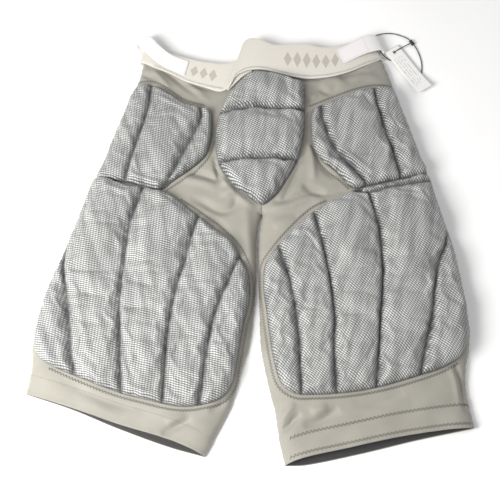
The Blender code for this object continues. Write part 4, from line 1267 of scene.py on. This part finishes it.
def box_rows(stations, tree):
    """Dashes in a box that hold a loop's end down on the waistband."""
    start = tuple(np.array(a) * 0.85 + np.array(b) * 0.15 for a, b in zip(stations[0], stations[1]))
    ends = [[np.array(low) * (1 - share) + np.array(high) * share for share in (0.08, 0.5, 0.92)]
            for low, high, _ in (start, stations[3])]
    rows = [band_row(stations[:4], share) for share in (0.08, 0.92)] + ends
    return [stitch for row in rows for stitch in dashes(row, *BOX_DASH, [tree], lift=0.2)]


def build_tag_set():
    """The hang tag with its cord, lock and pin."""
    plastic = plastic_material()
    cord = build_cord(plastic)
    lock, pin, tag = build_lock(plastic), build_pin(plastic), build_tag(card_material())


def build_pads(surfaces):
    """The five pad covers, with their foam bars on the fabric below."""
    knit, foam = mesh_material(), foam_material()
    covers = {}
    for side in ("left", "right"):
        hip = pad_cover(f"hip_cover_{side}", f"hip_{side}", PAD_RISE, MESH_TURN[side], knit)
        thigh = pad_cover(f"thigh_cover_{side}", f"thigh_{side}", PAD_RISE, MESH_TURN[side], knit)
        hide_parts(f"hip_pad_cover_{side}")
        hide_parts(f"thigh_pad_cover_{side}")
        covers[side] = (hip, thigh)
    centre = pad_cover("centre_cover", "centre", CENTRE_RISE, MESH_TURN["centre"], knit)
    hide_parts("centre_pad_cover")
    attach(centre, "hips")
    centre_tree = surface_of(centre)
    for number in range(1, 4):
        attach(foam_piece(f"centre_foam_{number}", centre_tree, surfaces["left"], foam), "hips")
    for side, (hip, thigh) in covers.items():
        hip_tree, thigh_tree = surface_of(hip), surface_of(thigh)
        for number in range(1, 4):
            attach(foam_piece(f"hip_foam_{side}_{number}", hip_tree, surfaces[side], foam), "hips")
        for number in range(1, 6):
            bend(foam_piece(f"thigh_foam_{side}_{number}", thigh_tree, surfaces[side], foam), side)
        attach(hip, "hips")
        bend(thigh, side)


def build_band():
    """The waistband and the loops over its ends; gives the waistband and the loops' stitches."""
    elastic, satin = elastic_material(), satin_material()
    band = ribbon("folded_waistband", BAND, BAND_THICK, 2.0, elastic, closed=True, across=14)
    declare(band, "hips", ["waistband"])
    box_stitches = []
    for side, stations in (("left", LOOP_LEFT), ("right", LOOP_RIGHT)):
        loop = ribbon(f"satin_loop_{side}", stations, LOOP_THICK, 1.5, satin)
        declare(loop, "hips", [f"side_loop_{side}"])
        box_stitches += box_rows(stations, surface_of(loop))
    return band, box_stitches


def build_seams(surfaces):
    """The stitched rows on the front fabric, and the grippers in the hems."""
    grey = thread_material("grey_thread", (0.20, 0.195, 0.175))
    black = gripper_material()
    for side, yoke, hip_seam, thigh_seam in (
            ("left", YOKE_LEFT, HIP_SEAM_LEFT, THIGH_SEAM_LEFT),
            ("right", YOKE_RIGHT, HIP_SEAM_RIGHT, THIGH_SEAM_RIGHT)):
        tree = [surfaces[side]]
        lines = [zigzag(yoke, *YOKE_STITCH, tree), zigzag(hip_seam, *HIP_STITCH, tree)]
        seam = tubes_object(f"yoke_stitches_{side}", lines, THREAD_RADIUS, grey)
        declare(seam, "hips", [f"yoke_seam_{side}"])
        seam = tubes_object(f"thigh_stitches_{side}", [zigzag(thigh_seam, *YOKE_STITCH, tree)],
                            THREAD_RADIUS, grey)
        bend(seam, side)
        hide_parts(f"thigh_seam_{side}")
        if side == "right":
            lines = [zigzag(hem_row(side, up), *HEM_STITCH, tree) for up in (5.0, 25.0)]
            seam = tubes_object(f"hem_stitches_{side}", lines, 0.32, grey)
        else:
            lines = dashes(hem_row(side, 22.0), *SMALL_DASH, tree)
            seam = tubes_object(f"hem_stitches_{side}", lines, 0.2, grey)
        declare(seam, f"{side}_leg", [f"hem_seam_{side}"])
        build_gripper(side, black)


def build_band_stitches(band, box_stitches):
    """White zigzag along the waistband's lower edge, with the loops' box stitches."""
    tree = [surface_of(band)]
    lines = [zigzag(band_row(run[:-1], 0.07), *BAND_STITCH, tree) for run in (BAND_FRONT, BAND_LEFT)]
    white = thread_material("white_thread", (0.74, 0.72, 0.68))
    thread = tubes_object("waistband_stitches", lines + box_stitches, 0.25, white)
    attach(thread, "hips")


def main():
    """Builds every piece in the frame, and the stage around them."""
    add_camera()
    build_tag_set()
    spandex = spandex_material()
    shells = {side: build_shell(side, spandex) for side in ("left", "right")}
    surfaces = {side: surface_of(shell) for side, shell in shells.items()}
    for side, shell in shells.items():
        bend(shell, side)
    build_pads(surfaces)
    band, box_stitches = build_band()
    build_seams(surfaces)
    build_band_stitches(band, box_stitches)
    add_studio()


main()
